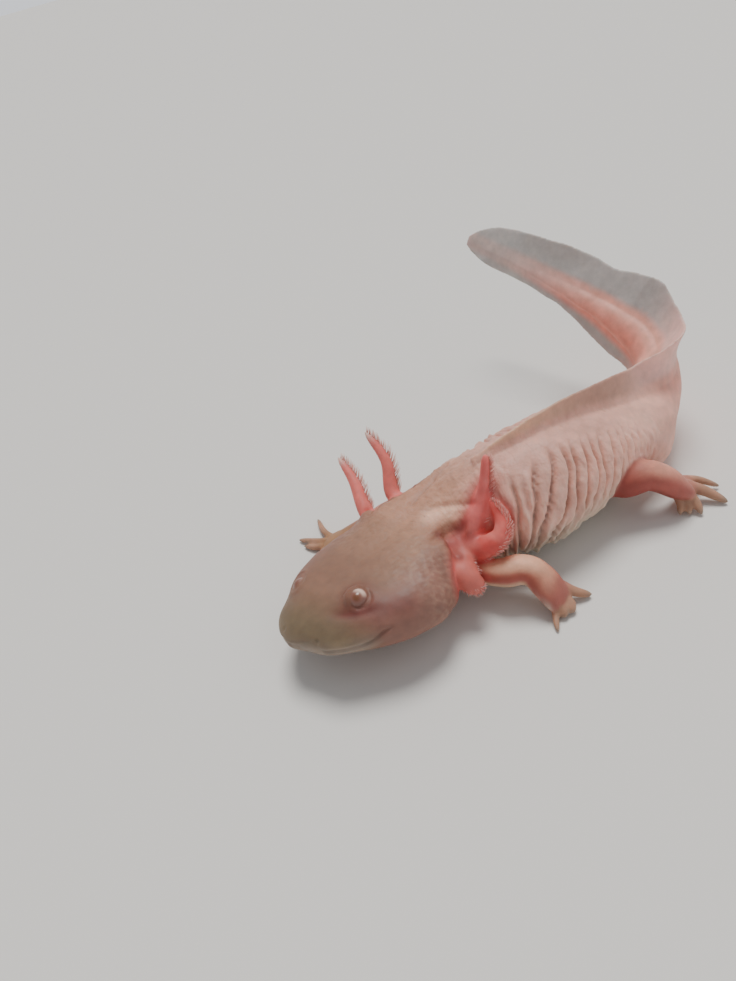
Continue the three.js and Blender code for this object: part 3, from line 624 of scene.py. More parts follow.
def relaxed(values, edges, share, rounds):
    # moves each vertex's values towards its neighbours' mean, by share of the way
    n = len(values)
    a, b = edges.T
    count = np.bincount(a, minlength=n) + np.bincount(b, minlength=n)
    share = np.broadcast_to(share, (n,))[:, None]
    values = values.copy()
    for _ in range(rounds):
        mean = np.stack([np.bincount(a, values[b, k], n) + np.bincount(b, values[a, k], n)
                         for k in range(values.shape[1])], 1) / np.maximum(count, 1)[:, None]
        values += share * (mean - values)
    return values


def limbLines():
    # every leg, toe and gill: its name, its line, its radii and its steps
    for name, line in legs["lines"].items():
        sizes = legs["armSizes"] if "fore" in name else legs["legSizes"]
        yield name, line, [[q[0], 0.5 * (q[1] + q[2])] for q in sizes], 60
        for i, toe in enumerate(legs["toes"][name]):
            points, sizes = toeShape(toe)
            yield f"{name}_toe{i}", points, [[q[0], q[1]] for q in sizes], 16
    for name, line in gills["lines"].items():
        yield name, line, gillRadius(name), 50


def limbDistances(p, farthest=14.0):
    # distance from each point to each leg, toe and gill, and the share of the way along it
    nears, shares = {}, {}
    for name, line, sizes, steps in limbLines():
        at, _ = smoothLine(line, steps + 1)
        radius = along(sizes)(np.linspace(0, 1, steps + 1))
        near, share = np.full(len(p), farthest), np.zeros(len(p))
        close = ((p > at.min(0) - farthest) & (p < at.max(0) + farthest)).all(1)
        q = p[close]
        gaps = np.sqrt(((q[:, None] - at[None]) ** 2).sum(-1)) - radius
        k = gaps.argmin(1)
        near[close], share[close] = gaps[np.arange(len(q)), k], k / steps
        nears[name], shares[name] = near, share
    return nears, shares


def survey(p):
    # where every point is: on the body, and near which leg, toe or gill
    s, left, up = bodyPlaces(p)
    angle = np.arctan2(up, left)
    near, share = limbDistances(p)
    nearest = {word: np.min([near[k] for k in near if word in k], axis=0)
               for word in ("leg", "toe", "gill")}
    return {"s": s, "left": left, "up": up, "angle": np.degrees(angle), **nearest,
            "out": np.hypot(left, up) - reach(s, angle), "near": near, "share": share}


mouthLine = along([[0, 0.1], [3, 0], [4.7, -0.2], [6.5, -0.3], [9.7, 0], [12, 0.7], [14, 1.5],
                   [17, 2.1]])


folds = {
    # station at mid flank, how far the top lies further back, top and bottom angle, depth
    "costal": [
        [62.2, 1.2, 44, -25, 0.6], [65.4, 1.6, 50, -32, 0.8], [68.6, 2.0, 56, -36, 0.9],
        [70.9, 4.3, 62, -45, 1.0], [72.9, 5.4, 64, -50, 1.0], [75.7, 5.8, 64, -52, 1.0],
        [77.8, 6.2, 62, -52, 0.95], [80.6, 6.4, 60, -52, 0.95], [83.4, 6.5, 58, -52, 0.9],
        [86.2, 6.6, 56, -50, 0.85], [89.8, 6.2, 54, -46, 0.75], [92.6, 6.2, 52, -40, 0.65],
        [95.0, 6.6, 52, 5, 0.5], [98, 6.4, 50, 12, 0.4], [101, 6.2, 48, 14, 0.33],
    ],
    # the finer grooves between them, most of them low on the flank
    "fine": [
        [66.9, 1.8, 14, -46, 0.4], [71.6, 0.6, 50, 20, 0.7], [72.0, 4.9, 14, -50, 0.45],
        [74.4, 5.6, 12, -54, 0.5], [76.8, 6.0, 8, -54, 0.45], [79.2, 6.3, 8, -54, 0.45],
        [82.0, 6.4, 6, -54, 0.4], [84.8, 6.5, 4, -52, 0.4], [88.0, 6.4, 2, -48, 0.35],
    ],
    "width": 0.48, "fineWidth": 0.42, "fineLip": 0.3,  # in mm, and a share of the depth
    "pleats": 0.6, "pleatWidth": 3.4,
}


def foldGap(at, angle, station, lean, wiggle):
    # how far each point lies behind a groove, which leans tailwards towards its top
    return at["s"] - station - lean * np.clip(angle, -30, 90) / 60 - wiggle


def foldShown(angle, top, bottom, fade, depth):
    # a groove's depth at each angle, which fades out past its two ends
    return (depth * between(bottom - 14, bottom + 10, angle)
            * (1 - between(top - 16, top + fade, angle)))


def foldDepth(at):
    # pleats on the flanks: each rises gently tailwards to a crest, then drops into a groove
    v = folds
    total = np.zeros(len(at["s"]))
    for side in (1, -1):
        angle = np.degrees(np.arctan2(at["up"], side * at["left"]))
        gaps, shows = [], []
        for i, (station, lean, top, bottom, depth) in enumerate(v["costal"]):
            wiggle = 0.25 * np.sin(angle / 13 + 2.1 * i + side) + 0.12 * np.sin(angle / 5 + i)
            gaps.append(foldGap(at, angle, station, lean, wiggle * (depth > 0.4)))
            shows.append(foldShown(angle, top, bottom, 6, depth))
            total -= shows[-1] * hump(gaps[-1], v["width"])
        for i, (station, lean, top, bottom, depth) in enumerate(v["fine"]):
            gap = foldGap(at, angle, station, lean, 0.25 * np.sin(angle / 9 + i))
            groove = hump(gap, v["fineWidth"]) - v["fineLip"] * hump(np.abs(gap) - 1.0, 0.5)
            total -= foldShown(angle, top, bottom, 8, depth) * groove
        for ahead, behind, shownAhead, shownBehind in zip(gaps, gaps[1:], shows, shows[1:]):
            wide = np.maximum(ahead - behind, 0.5)
            t = np.clip(ahead / wide, 0, 1)
            rise = 1.5 * t ** 1.3 * (1 - t ** 6)
            total += (v["pleats"] * np.minimum(shownAhead, shownBehind) * rise
                      * np.clip(wide / v["pleatWidth"], 0, 1.2))
    return total


# Lines drawn on the skin, as [station, angle] on the left, with a width and a height in mm.
# Those that fade in and out between stations are on the left only.
strokes = {
    "underEye": {"path": [[7, 39], [8.2, 36], [9.4, 32], [10.5, 28.5], [11.8, 25.5], [13.4, 24],
                          [15.1, 22.5], [17.3, 21], [19.6, 19.5], [22.4, 17]],
                 "width": 1.6, "height": -0.5, "fade": [7, 10, 13, 19]},
    "overCheek": {"path": [[8, 27], [10.5, 21.5], [13.5, 17.5], [17, 15], [22, 12]],
                  "width": 2.4, "height": 0.2, "fade": [7, 10, 13, 19]},
    "cheekRear": {"path": [[43.5, 32], [41.6, 17], [39.8, 2], [39.4, -12], [38.6, -30],
                           [38, -48]], "width": 1.4, "height": -1.5},
    "cheekEdge": {"path": [[40.6, 32], [38.4, 17], [36.6, 2], [36.0, -12], [35.4, -30]],
                  "width": 2.0, "height": 0.5},
    "behindRidge": {"path": [[40, 40], [44, 38], [48, 34], [52, 31], [55, 30]],
                    "width": 1.6, "height": -0.8},
    "behindCrest": {"path": [[47, 73], [50.5, 68], [53.5, 61], [56.5, 53], [59.5, 47]],
                    "width": 1.0, "height": -0.7},
}


def strokeGap(p, path, side, farthest=7):
    # distance in mm from each point to a line drawn on the skin
    s, turn = np.array(path, float).T
    at = np.linspace(0, len(s) - 1, 12 * len(s))
    s, turn = (np.interp(at, np.arange(len(s)), x) for x in (s, np.radians(turn)))
    turn = turn if side > 0 else np.pi - turn
    far = reach(s, turn)
    line = place(s, far * np.cos(turn), far * np.sin(turn))
    gap = np.full(len(p), 99.0)
    close = ((p > line.min(0) - farthest) & (p < line.max(0) + farthest)).all(1)
    gap[close] = np.sqrt(((p[close][:, None] - line[None]) ** 2).sum(-1)).min(1)
    return gap


headDetails = {
    # height, distance from the middle, and width, in mm
    "mouth": [(-0.5, 0, 0.36), (0.2, 1.2, 0.9), (0.15, -1.1, 0.7)],  # slit, upper and lower lip
    "socket": [(-0.15, 2.6, 0.25), (0.2, 3.2, 0.7)],  # thin groove and low rim
    "furrow": (-0.2, 0, 1.8), "besideFurrow": (0.12, 4.5, 2.4),
    "nostril": (2.2, 5.6, 2.1), "nostrilDepth": 0.5, "nostrilSize": 0.55,
}


def profile(x, humps):
    return sum(height * hump(x - middle, width) for height, middle, width in humps)


def aroundAxis(p, centre, axis):
    # how far each point is along an axis through the centre, and how far off it
    r = p - centre
    return r @ axis, np.linalg.norm(r - (r @ axis)[:, None] * axis, axis=1)


def headRelief(at, p):
    # mouth, lips, eye sockets, creases and the cheeks' rear edge
    v = headDetails
    s, up, left = at["s"], at["up"], at["left"]
    mouth = (1 - between(15, 18, s)) * (at["out"] > -2)
    total = mouth * profile(up - mouthLine(s), v["mouth"])
    for side in (1, -1):
        for stroke in strokes.values():
            shown = 1
            if "fade" in stroke:
                a, b, c, d = stroke["fade"]
                shown = (side > 0) * between(a, b, s) * (1 - between(c, d, s))
            gap = strokeGap(p, stroke["path"], side)
            total += shown * stroke["height"] * hump(gap, stroke["width"])
        axis = unit(eyePlace(side, 1) - eyePlace(side))
        ahead, off = aroundAxis(p, eyePlace(side, eyes["standsOut"]), axis)
        total += ((ahead > -1.5) & (off < 8)) * profile(off, v["socket"])
        station, aside, high = v["nostril"]
        nose = place(station, side * aside, high)
        total -= v["nostrilDepth"] * hump(np.linalg.norm(p - nose, axis=1), v["nostrilSize"])
    # a shallow furrow along the middle of the head, and low swellings beside it
    furrow = between(16, 24, s) * (1 - between(44, 54, s)) * (up > 0)
    total += furrow * (profile(left, [v["furrow"]]) + profile(np.abs(left), [v["besideFurrow"]]))
    return total


def skinRelief(at, p, body):
    # the height of the skin's own shapes over the body, in mm
    v = skinShape
    s = at["s"]
    relief = v["grooves"] * foldDepth(at) * body + headRelief(at, p)
    relief += v["unevenness"] * ripple(p, 9, 3, 2) * body * between(25, 45, s)
    pebbled = between(18, 30, s) * (1 - 0.6 * between(58, 74, s)) * (at["up"] > -2)
    relief += v["pebbles"] * ripple(p, 1.9, 5, 2) * body * pebbled * (1 - between(100, 116, s))
    lines = np.stack([s, at["angle"] / 11, np.sign(at["left"]) * 40], 1)
    flank = between(46, 54, s) * (1 - between(104, 116, s))
    side = np.degrees(np.arctan2(at["up"], np.abs(at["left"])))
    relief += (v["creases"] * ripple(lines, 2.1, 17, 2) * body * flank
               * (1 - 0.7 * between(25, 55, side)))
    return relief


def skinMesh():
    v = skinShape
    voxel = v["voxel"] * 1
    mesh = withModifier(newMesh("flesh", *joined(fleshShapes())), "REMESH", mode="VOXEL",
                        voxel_size=voxel, adaptivity=0)
    print("skin drawn over the flesh:", len(mesh.vertices), "points")
    p, edges = meshPoints(mesh), meshEdges(mesh)
    p = relaxed(p, edges, 0.5, 2)
    at = survey(p)
    # where two shapes meet, the corner between them is filled and rounded
    limbs = [near for name, near in at["near"].items() if "toe" not in name]
    gaps = np.sort(np.abs(np.stack([np.maximum(at["out"], 0)] + limbs)), 0)
    corner = hump(gaps[1], v["filletReach"])
    corner = relaxed(corner[:, None], edges, 0.5, 6)[:, 0]
    p = relaxed(p, edges, 0.6 * corner, int(v["fillets"] * (v["voxel"] / voxel) ** 2))
    p = relaxed(p, edges, 0.3, 1)
    # the relief belongs to the body, and fades out on the legs, gills and fins
    body = between(0.6, 2.2, np.minimum(at["leg"], at["gill"])) * (1 - between(1.5, 4, at["out"]))
    body = relaxed(body[:, None], edges, 0.5, 4)[:, 0]
    relief = relaxed(skinRelief(at, p, body)[:, None], edges, 0.4, 1)
    p += meshNormals(mesh, p) * relief
    p[:, 2] = np.maximum(p[:, 2], 0)
    mesh.vertices.foreach_set("co", p.astype(np.float32).ravel())
    mesh.update()
    mesh.calc_loop_triangles()
    share = min(1.0, v["faces"] / len(mesh.loop_triangles))
    made = withModifier(mesh, "DECIMATE", ratio=share, use_collapse_triangulate=True)
    print("skin shaped:", len(made.polygons), "faces")
    return made


# the skin's colours: most lie in the skin, and some are painted light and shade
coat = {
    "crestHighlight": "f0cbb9", "trunk": "efb9a6", "back": "e1ab99", "belly": "c4b8a6", "groove": "876e68",
    "head": "8e6854", "nape": "ac8067", "snout": "73624a", "snoutEdge": "8b7657",
    "cheek": "8f6557", "mottle": "b9957f", "lip": "a69486",
    "eyeRedAndShade": "70332c", "neck": "d2967a", "neckTop": "bd8b72", "ridge": "f7c3a6",
    "hollowShade": "a0705a", "blush": "be5953", "gillSlitShade": "7c3f3b", "gillRoot": "b9625a",
    "finFront": "e3b699", "finTrunk": "c39785", "finBend": "f3bfb3", "finTail": "bdb8b3",
    "tailPale": "ecc0ad", "tail": "f6a391", "tailCore": "e08a73", "tailTip": "c1b9b3",
    "leg": "b45d52", "legLitTop": "dc9a84", "legShadedUnder": "8f473d", "palm": "a9655a",
    "armLitTop": "f0b796", "armShadeStripe": "a8513f", "armUnderLight": "dab395", "thigh": "964036",
    "farHand": "a97d57", "toe": "b5886e", "toeTip": "8d8273",
    "gillUpper": "ea7a75", "gillLow": "cf6e62", "gill": "da574f", "gillEdge": "e87f75",
    "gillPale": "d9c3b8",
}
# the ridge's crest gets a painted highlight, and behind the eye and in the gill slit there is
# painted shade
marks = {  # places of colour marks on the left of the head, as [station, angle]
    "ridgeCrest": [[46, 66], [50.5, 61], [52.5, 54], [54, 47.5], [56, 43]],
    "behindEye": [[17.5, 21], [23, 16]],
    "gillSlitShade": [[42.2, 40], [41.4, 22], [40.8, 2], [40.4, -20]],
}


def mixed(base, code, share):
    return base + (paint(code) - base) * np.clip(share, 0, 1)[:, None]


def flat(code, p):
    return np.repeat(paint(code)[None], len(p), 0)


def bodyColours(p, at):
    c, s = coat, at["s"]
    colour = mixed(flat(c["trunk"], p), c["back"], between(8, 14, at["up"]))
    return mixed(colour, c["belly"], between(-6, 9, -at["up"]) * (1 - between(96, 112, s)))


def headColours(colour, p, at):
    # from the neck forwards to the lips
    c = coat
    s, up, left = at["s"], at["up"], at["left"]
    colour = mixed(colour, c["neck"], 1 - between(48, 68, s))
    colour = mixed(colour, c["nape"], 1 - between(36, 50, s))
    colour = mixed(colour, c["head"], 1 - between(20, 40, s))
    neck = between(36, 44, s) * (1 - between(54, 72, s))
    colour = mixed(colour, c["neckTop"],
                   0.75 * neck * between(3, 10, up) * (1 - between(1, 7, left)))
    aside = np.abs(left) / halfWidth(s)
    colour = mixed(colour, c["cheek"],
                   between(0.45, 0.9, aside) * (1 - between(37, 43, s)) * between(6, 15, s))
    spots = between(-0.5, 0.9, ripple(p, 1.9, 31, 2)) * between(0.3, 0.6, aside)
    colour = mixed(colour, c["mottle"],
                   0.3 * spots * between(22, 30, s) * (1 - between(38, 43, s)))
    colour = mixed(colour, c["snout"], 0.95 * (1 - between(3, 15, s)))
    rim = between(0.8, 1.0, aside) * (up > 0)
    colour = mixed(colour, c["snoutEdge"], rim * (1 - between(18, 34, s))
                   * np.where(left < 0, 0.9, 1 - between(3, 8, s)))
    lip = hump(up - mouthLine(s) + 0.6, 2.0) * (1 - between(7, 14, s))
    return mixed(colour, c["lip"], 0.75 * lip)


def creaseColours(colour, p, at):
    # painted shade round the eyes over their own red skin, and in and beside the hollows in front
    # of the gills, with a painted highlight on the left ridge's crest
    c, s = coat, at["s"]
    for side in (1, -1):
        turn = np.degrees(np.arctan2(at["up"], side * at["left"]))
        # painted shade in the crease under each eye, over the skin's own red
        gap = strokeGap(p, strokes["underEye"]["path"], side)
        fade = between(6.5, 11, s) * (1 - 0.75 * between(12.5, 20, s)) * (1 if side > 0 else 0.2)
        colour = mixed(colour, c["eyeRedAndShade"], (0.35 * hump(gap, 0.9) + 0.5 * hump(gap, 2.6)) * fade)
        # painted shade round each eye's socket, over the skin's own red
        ring = np.linalg.norm(p - eyePlace(side, eyes["standsOut"]), axis=1)
        colour = mixed(colour, c["eyeRedAndShade"], 0.35 * hump(ring - 3.6, 1.6) * (0.1 if side < 0 else 1))
        # painted shade in the hollow behind the ridge
        gap = strokeGap(p, strokes["behindRidge"]["path"], side)
        colour = mixed(colour, c["hollowShade"], 0.8 * hump(gap, 3.0))
        # painted shade in the slit behind the cheek
        rear = between(39.6, 41.8, s) * (1 - between(52, 60, s)) * between(-75, -30, turn)
        colour = mixed(colour, c["gillSlitShade"], 0.85 * rear * (1 - between(22, 36, turn)))
        # painted shade in the groove behind the crest
        gap = strokeGap(p, strokes["behindCrest"]["path"], side)
        colour = mixed(colour, c["groove"], 0.35 * hump(gap, 0.8))
    # painted highlight along the left ridge's crest
    gap = strokeGap(p, marks["ridgeCrest"], 1)
    colour = mixed(colour, c["ridge"], 0.85 * hump(gap, 2.5))
    # painted shade behind the left eye, over the skin's own red
    gap = strokeGap(p, marks["behindEye"], 1)
    return mixed(colour, c["eyeRedAndShade"], 0.55 * hump(gap, 3.0))


def foldColours(colour, at):
    # painted shade makes the grooves a little darker and redder, and a painted highlight makes the
    # crests between them paler
    folded = foldDepth(at)
    colour = mixed(colour, coat["groove"], 0.65 * np.clip(-folded - 0.1, 0, 1))
    return mixed(colour, coat["crestHighlight"],
                 0.5 * np.clip(folded - 0.1, 0, 1) * (1 - between(96, 112, at["s"])))


def tailColours(colour, at):
    # blood red along the middle, and paler above
    c, s, up = coat, at["s"], at["up"]
    colour = mixed(colour, c["tail"], between(110, 142, s))
    high = up / np.maximum(np.where(up > 0, topHeight(s), bottomDepth(s)), 0.8)
    rear = between(128, 140, s)
    colour = mixed(colour, c["tailPale"], 0.45 * hump(high - 0.9, 0.5) * rear)
    colour = mixed(colour, c["tailCore"],
                   0.55 * hump(high + 0.35, 0.9) * rear * (1 - 0.8 * between(145, 195, s)))
    return mixed(colour, c["tailTip"], 0.8 * between(165, 215, s))


def finTones(p, at):
    c, s = coat, at["s"]
    fin = between(0.6, 2.8, at["out"]) * (np.abs(at["left"]) < 4.5)
    fin = fin * (at["leg"] > 1.5) * (at["gill"] > 1.5) * between(60, 70, s)
    tone = mixed(flat(c["finFront"], p), c["finTrunk"], between(74, 100, s))
    tone = mixed(tone, c["finBend"], between(108, 126, s))
    return mixed(tone, c["finTail"], between(138, 158, s)), fin


def legTones(p, normals, at):
    # painted light on top and painted shade below, by which way the skin faces, over red legs with
    # tan toes
    c, near, share = coat, at["near"], at["share"]
    leg = 1 - between(0.2, 1.6, at["leg"])
    upward = normals[:, 2]
    # painted light on upward faces, painted shade on downward faces
    tone = mixed(flat(c["leg"], p), c["legLitTop"], 0.9 * between(0.25, 0.85, upward))
    tone = mixed(tone, c["legShadedUnder"], 1 - between(-0.75, 0.05, upward))
    arm = 1 - between(0.2, 1.6, near["foreleg_left"])
    # on the left arm: painted light on top, painted light underneath, and a band of painted shade
    # between
    tone = mixed(tone, c["armLitTop"], 0.85 * arm * between(0.35, 0.85, upward))
    tone = mixed(tone, c["armUnderLight"], 0.9 * arm * (1 - between(-0.35, 0.15, upward)))
    tone = mixed(tone, c["armShadeStripe"], 0.75 * arm * hump(upward - 0.42, 0.28))
    thigh = 1 - between(0.2, 1.6, near["hindleg_left"])
    thigh = thigh * (1 - between(0.3, 0.62, share["hindleg_left"]))
    tone = mixed(tone, c["thigh"], 0.85 * thigh)
    reachOut = np.max([share[k] * (near[k] < 2) for k in legs["lines"]], axis=0)
    tone = mixed(tone, c["palm"], 0.7 * between(0.72, 0.95, reachOut))
    hand = 1 - between(0.6, 2.4, np.minimum(near["foreleg_right"], at["toe"]))
    tone = mixed(tone, c["farHand"],
                 0.9 * hand * between(2, 6, -at["left"]) * (1 - between(37, 47, at["s"])))
    toe = 1 - between(0.1, 0.9, at["toe"])
    toeShare = np.max([share[k] * (near[k] < 1) for k in share if "toe" in k], axis=0)
    tone = mixed(tone, c["toe"], toe * between(0.05, 0.5, toeShare))
    return mixed(tone, c["toeTip"], 0.75 * toe * between(0.7, 1, toeShare)), leg


def gillColours(colour, p, at):
    # blood red, lighter along the edge, and pale at the right gills' tips
    c, near, share = coat, at["near"], at["share"]
    gillNear = np.min([near[k] for k in gills["lines"]], axis=0)
    gill = 1 - between(0.3, 1.5, gillNear)
    blush = (1 - between(0.5, 4.5, gillNear)) * (at["left"] > 0) * (at["leg"] > 1)
    colour = mixed(colour, c["blush"], 0.75 * blush)
    gillShare = np.max([share[k] * (near[k] < 1.5) for k in gills["lines"]], axis=0)
    tone = mixed(flat(c["gill"], p), c["gillEdge"], 0.3 + 0.5 * ripple(p, 5, 8, 2))
    tone = mixed(tone, c["gillUpper"], 0.6 * (1 - between(0, 1, near["gill_left_upper"])))
    tone = mixed(tone, c["gillRoot"], 0.7 * (1 - between(0.1, 0.4, gillShare)))
    rightGills = [k for k in gills["lines"] if "right" in k]
    tip = np.max([between(0.8, 1, share[k]) * (near[k] < 1.5) for k in rightGills], axis=0)
    tone = mixed(tone, c["gillEdge"], 0.75 * np.max([share[k] > 0 for k in rightGills], axis=0))
    tone = mixed(tone, c["gillPale"], 0.9 * tip)
    tone = mixed(tone, c["gillLow"], 1 - between(0, 1, near["gill_left_lower"]))
    shown = gill * between(0.04, 0.2, gillShare)
    colour += (tone - colour) * shown[:, None]
    # painted shade in the gill slit behind the cheek
    slit = strokeGap(p, marks["gillSlitShade"], 1)
    return mixed(colour, c["gillSlitShade"], 0.75 * hump(slit, 1.8)), gill


def skinColours(p, normals, at):
    # each point's colour, and how much of the fine wrinkles and pimples it shows
    s = at["s"]
    colour = creaseColours(headColours(bodyColours(p, at), p, at), p, at)
    colour = tailColours(foldColours(colour, at), at)
    tone, fin = finTones(p, at)
    colour += (tone - colour) * fin[:, None]
    tone, leg = legTones(p, normals, at)
    colour += (tone - colour) * leg[:, None]
    colour, gill = gillColours(colour, p, at)
    cloud, speckle = ripple(p, 14, 21, 3), ripple(p, 3.2, 22, 2)
    colour *= (1 + 0.06 * cloud + 0.04 * speckle)[:, None]
    smooth = np.maximum.reduce([1 - 0.85 * between(24, 44, s), 0.75 * leg, gill, 0.8 * fin,
                                0.6 * between(96, 112, s), 0.9 * between(112, 132, s)])
    return np.clip(colour, 0.005, 0.95), 1 - np.clip(smooth, 0, 0.92)


def setAttribute(mesh, name, kind, values):
    attribute = mesh.attributes.new(name, kind, "POINT")
    key = {"FLOAT_COLOR": "color", "FLOAT_VECTOR": "vector", "FLOAT": "value"}[kind]
    attribute.data.foreach_set(key, np.ascontiguousarray(values, np.float32).ravel())


def setColours(mesh, name, colours):
    setAttribute(mesh, name, "FLOAT_COLOR", np.hstack([colours, np.ones((len(colours), 1))]))


skinFinish = {
    "blotches": 420, "roughness": (0.5, 0.68), "tones": (0.9, 1.08),
    # scale, then the strength and the depth in m of the bumps
    "wrinkles": (520, 0.8, 0.0006), "pimples": (1500, 0.45, 0.00025),
    "grain": (4200, 0.25, 0.00012),
    "gloss": 0.42, "wetness": 0.07,
    "subsurface": 0.3, "radius": (1.8, 0.9, 0.6), "scale": 0.001,
    "wrinkleStretch": (10, 0.35),  # mm in a radian round the body, and how long the lines are
}


def skinMaterial(v):
    material, tree, shader = newMaterial("wetSkin", {
        "Subsurface Weight": v["subsurface"], "Subsurface Radius": v["radius"],
        "Subsurface Scale": v["scale"], "Specular IOR Level": v["gloss"],
        "Coat Weight": v["wetness"], "Coat Roughness": 0.3,
    })
    link = tree.links.new
    own = nodeIn(tree, "ShaderNodeTexCoord").outputs["Object"]
    colour = nodeIn(tree, "ShaderNodeAttribute", attribute_name="skinColour")
    where = nodeIn(tree, "ShaderNodeAttribute", attribute_name="bodyPlace")
    rough = nodeIn(tree, "ShaderNodeAttribute", attribute_name="skinDetail")
    blotch = nodeIn(tree, "ShaderNodeTexNoise", {"Scale": v["blotches"], "Detail": 4,
                                                 "Roughness": 0.6})
    link(own, blotch.inputs["Vector"])

    def blotched(low, high):
        ramp = nodeIn(tree, "ShaderNodeMapRange", {"From Min": 0.3, "From Max": 0.7,
                                                   "To Min": low, "To Max": high})
        link(blotch.outputs["Fac"], ramp.inputs["Value"])
        return ramp.outputs["Result"]

    toned = nodeIn(tree, "ShaderNodeVectorMath", operation="SCALE")
    link(colour.outputs["Color"], toned.inputs[0])
    link(blotched(*v["tones"]), toned.inputs["Scale"])
    link(toned.outputs["Vector"], shader.inputs["Base Color"])
    link(blotched(*v["roughness"]), shader.inputs["Roughness"])
    # wrinkles that run across the body, small round pimples, and finer grain everywhere
    wrinkles = nodeIn(tree, "ShaderNodeTexNoise", {"Scale": v["wrinkles"][0], "Detail": 3,
                                                   "Distortion": 0.6})
    pimples = nodeIn(tree, "ShaderNodeTexVoronoi", {"Scale": v["pimples"][0]},
                     feature="SMOOTH_F1")
    grain = nodeIn(tree, "ShaderNodeTexNoise", {"Scale": v["grain"][0], "Detail": 2})
    link(where.outputs["Vector"], wrinkles.inputs["Vector"])
    link(own, pimples.inputs["Vector"])
    link(own, grain.inputs["Vector"])
    bump = None
    for source, key, name in ((wrinkles, "Fac", "wrinkles"), (pimples, "Distance", "pimples"),
                              (grain, "Fac", "grain")):
        _, strength, depth = v[name]
        node = nodeIn(tree, "ShaderNodeBump", {"Strength": strength, "Distance": depth})
        if name != "grain":
            amount = nodeIn(tree, "ShaderNodeMath", {1: strength}, operation="MULTIPLY")
            link(rough.outputs["Fac"], amount.inputs[0])
            link(amount.outputs["Value"], node.inputs["Strength"])
        link(source.outputs[key], node.inputs["Height"])
        if bump:
            link(bump.outputs["Normal"], node.inputs["Normal"])
        bump = node
    link(bump.outputs["Normal"], shader.inputs["Normal"])
    return material


fleshNodes = [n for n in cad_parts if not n.startswith("eye")]


def shiftToFrame():
    # the animal's own frame lies where the CAD's left eye says
    low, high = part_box("eye_left")
    return np.array((low + high) / 2) / mm - eyePlace(1, eyes["standsOut"])


shift = shiftToFrame()
print("frame shift, mm:", np.round(shift, 3))


def addPiece(name, mesh, material, replaced):
    mesh.materials.clear()
    mesh.materials.append(material)
    mesh.shade_smooth()
    piece = bpy.data.objects.new(name, mesh)
    scene.collection.objects.link(piece)
    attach(piece, "root")
    if replaced:
        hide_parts(*replaced)
    return piece


def addSkin():
    mesh = skinMesh()
    p = meshPoints(mesh)
    at = survey(p)
    colour, detail = skinColours(p, meshNormals(mesh, p), at)
    perRadian, stretch = skinFinish["wrinkleStretch"]
    around = stretch * (np.radians(at["angle"]) * perRadian)
    setColours(mesh, "skinColour", colour)
    setAttribute(mesh, "skinDetail", "FLOAT", detail)
    setAttribute(mesh, "bodyPlace", "FLOAT_VECTOR",
                 np.stack([at["s"], around, 0 * around], 1) * mm)
    mesh.vertices.foreach_set("co", ((p + shift) * mm).astype(np.float32).ravel())
    mesh.update()
    addPiece("skin", mesh, skinMaterial(skinFinish), fleshNodes)


addSkin()
print("skin done")


eyeLooks = {
    "white": "8a5b4e", "ring": "86594c", "shine": "e8c6b4", "iris": "8a5848", "pupil": "79492f",
    "ringEdge": (2.0, 2.4), "irisEdge": (1.0, 1.75), "pupilEdge": (0.4, 1.2),  # mm from the middle
    # where the ring's painted highlight faces, and how strong it is on each eye
    "litFrom": [0.6, 0.4, 0.7], "leftShine": 1, "rightShine": 0.15, "bulge": 0.05,
    "roughness": 0.38, "wetness": 0.5, "wetRoughness": 0.12, "gloss": 0.45,
}


def colouredMaterial(name, attribute, values):
    # a material that takes its colour from the mesh
    material, tree, shader = newMaterial(name, values)
    colour = nodeIn(tree, "ShaderNodeAttribute", attribute_name=attribute)
    tree.links.new(colour.outputs["Color"], shader.inputs["Base Color"])
    return material


def eyeMaterial(v):
    return colouredMaterial("wetEye", "eyeColour", {
        "Roughness": v["roughness"], "Coat Weight": v["wetness"],
        "Coat Roughness": v["wetRoughness"], "Specular IOR Level": v["gloss"]})


def eyeColours(points, centre, axis, shine):
    # a dull ball with a ring that has a painted highlight on one side, round a darker iris and
    # pupil
    v = eyeLooks
    ahead, off = aroundAxis(points, centre, axis)
    r = points - centre
    lit = unit(r - (r @ axis)[:, None] * axis + 1e-6) @ unit(np.array(v["litFrom"]))
    front = ahead > 0
    ring = front * (1 - between(*v["ringEdge"], off))
    colour = mixed(flat(v["white"], points), v["ring"], ring)
    # painted highlight on the side of the ring that faces litFrom
    colour = mixed(colour, v["shine"], ring * between(0.3, 0.95, lit) * shine)
    for name in ("iris", "pupil"):
        colour = mixed(colour, v[name], front * (1 - between(*v[name + "Edge"], off)))
    return colour


def addEye(name, side, material):
    centre, axis = eyePlace(side, eyes["standsOut"]), eyeAxis(side)
    turn = np.concatenate([np.linspace(0.02, 1.3, 60), np.linspace(1.35, np.pi - 0.02, 24)])
    angle = np.linspace(0, 2 * np.pi, 64, endpoint=False)
    across = unit(np.cross(axis, [0.0, 0.0, 1.0]))
    upward = np.cross(across, axis)
    radius = eyes["radius"] * (1 + eyeLooks["bulge"] * hump(turn, 0.5))
    rings = (centre + (radius * np.cos(turn))[:, None, None] * axis
             + (radius * np.sin(turn))[:, None, None]
             * (across * np.cos(angle)[:, None] + upward * np.sin(angle)[:, None]))
    points, faces = ringMesh(rings[::-1])
    mesh = newMesh(name, (points + shift) * mm, faces)
    setColours(mesh, "eyeColour", eyeColours(points, centre, axis, eyeLooks[name + "Shine"]))
    addPiece("eyeball_" + name, mesh, material, ["eye_" + name])


wetEye = eyeMaterial(eyeLooks)
addEye("left", 1, wetEye)
addEye("right", -1, wetEye)
print("eyes done")


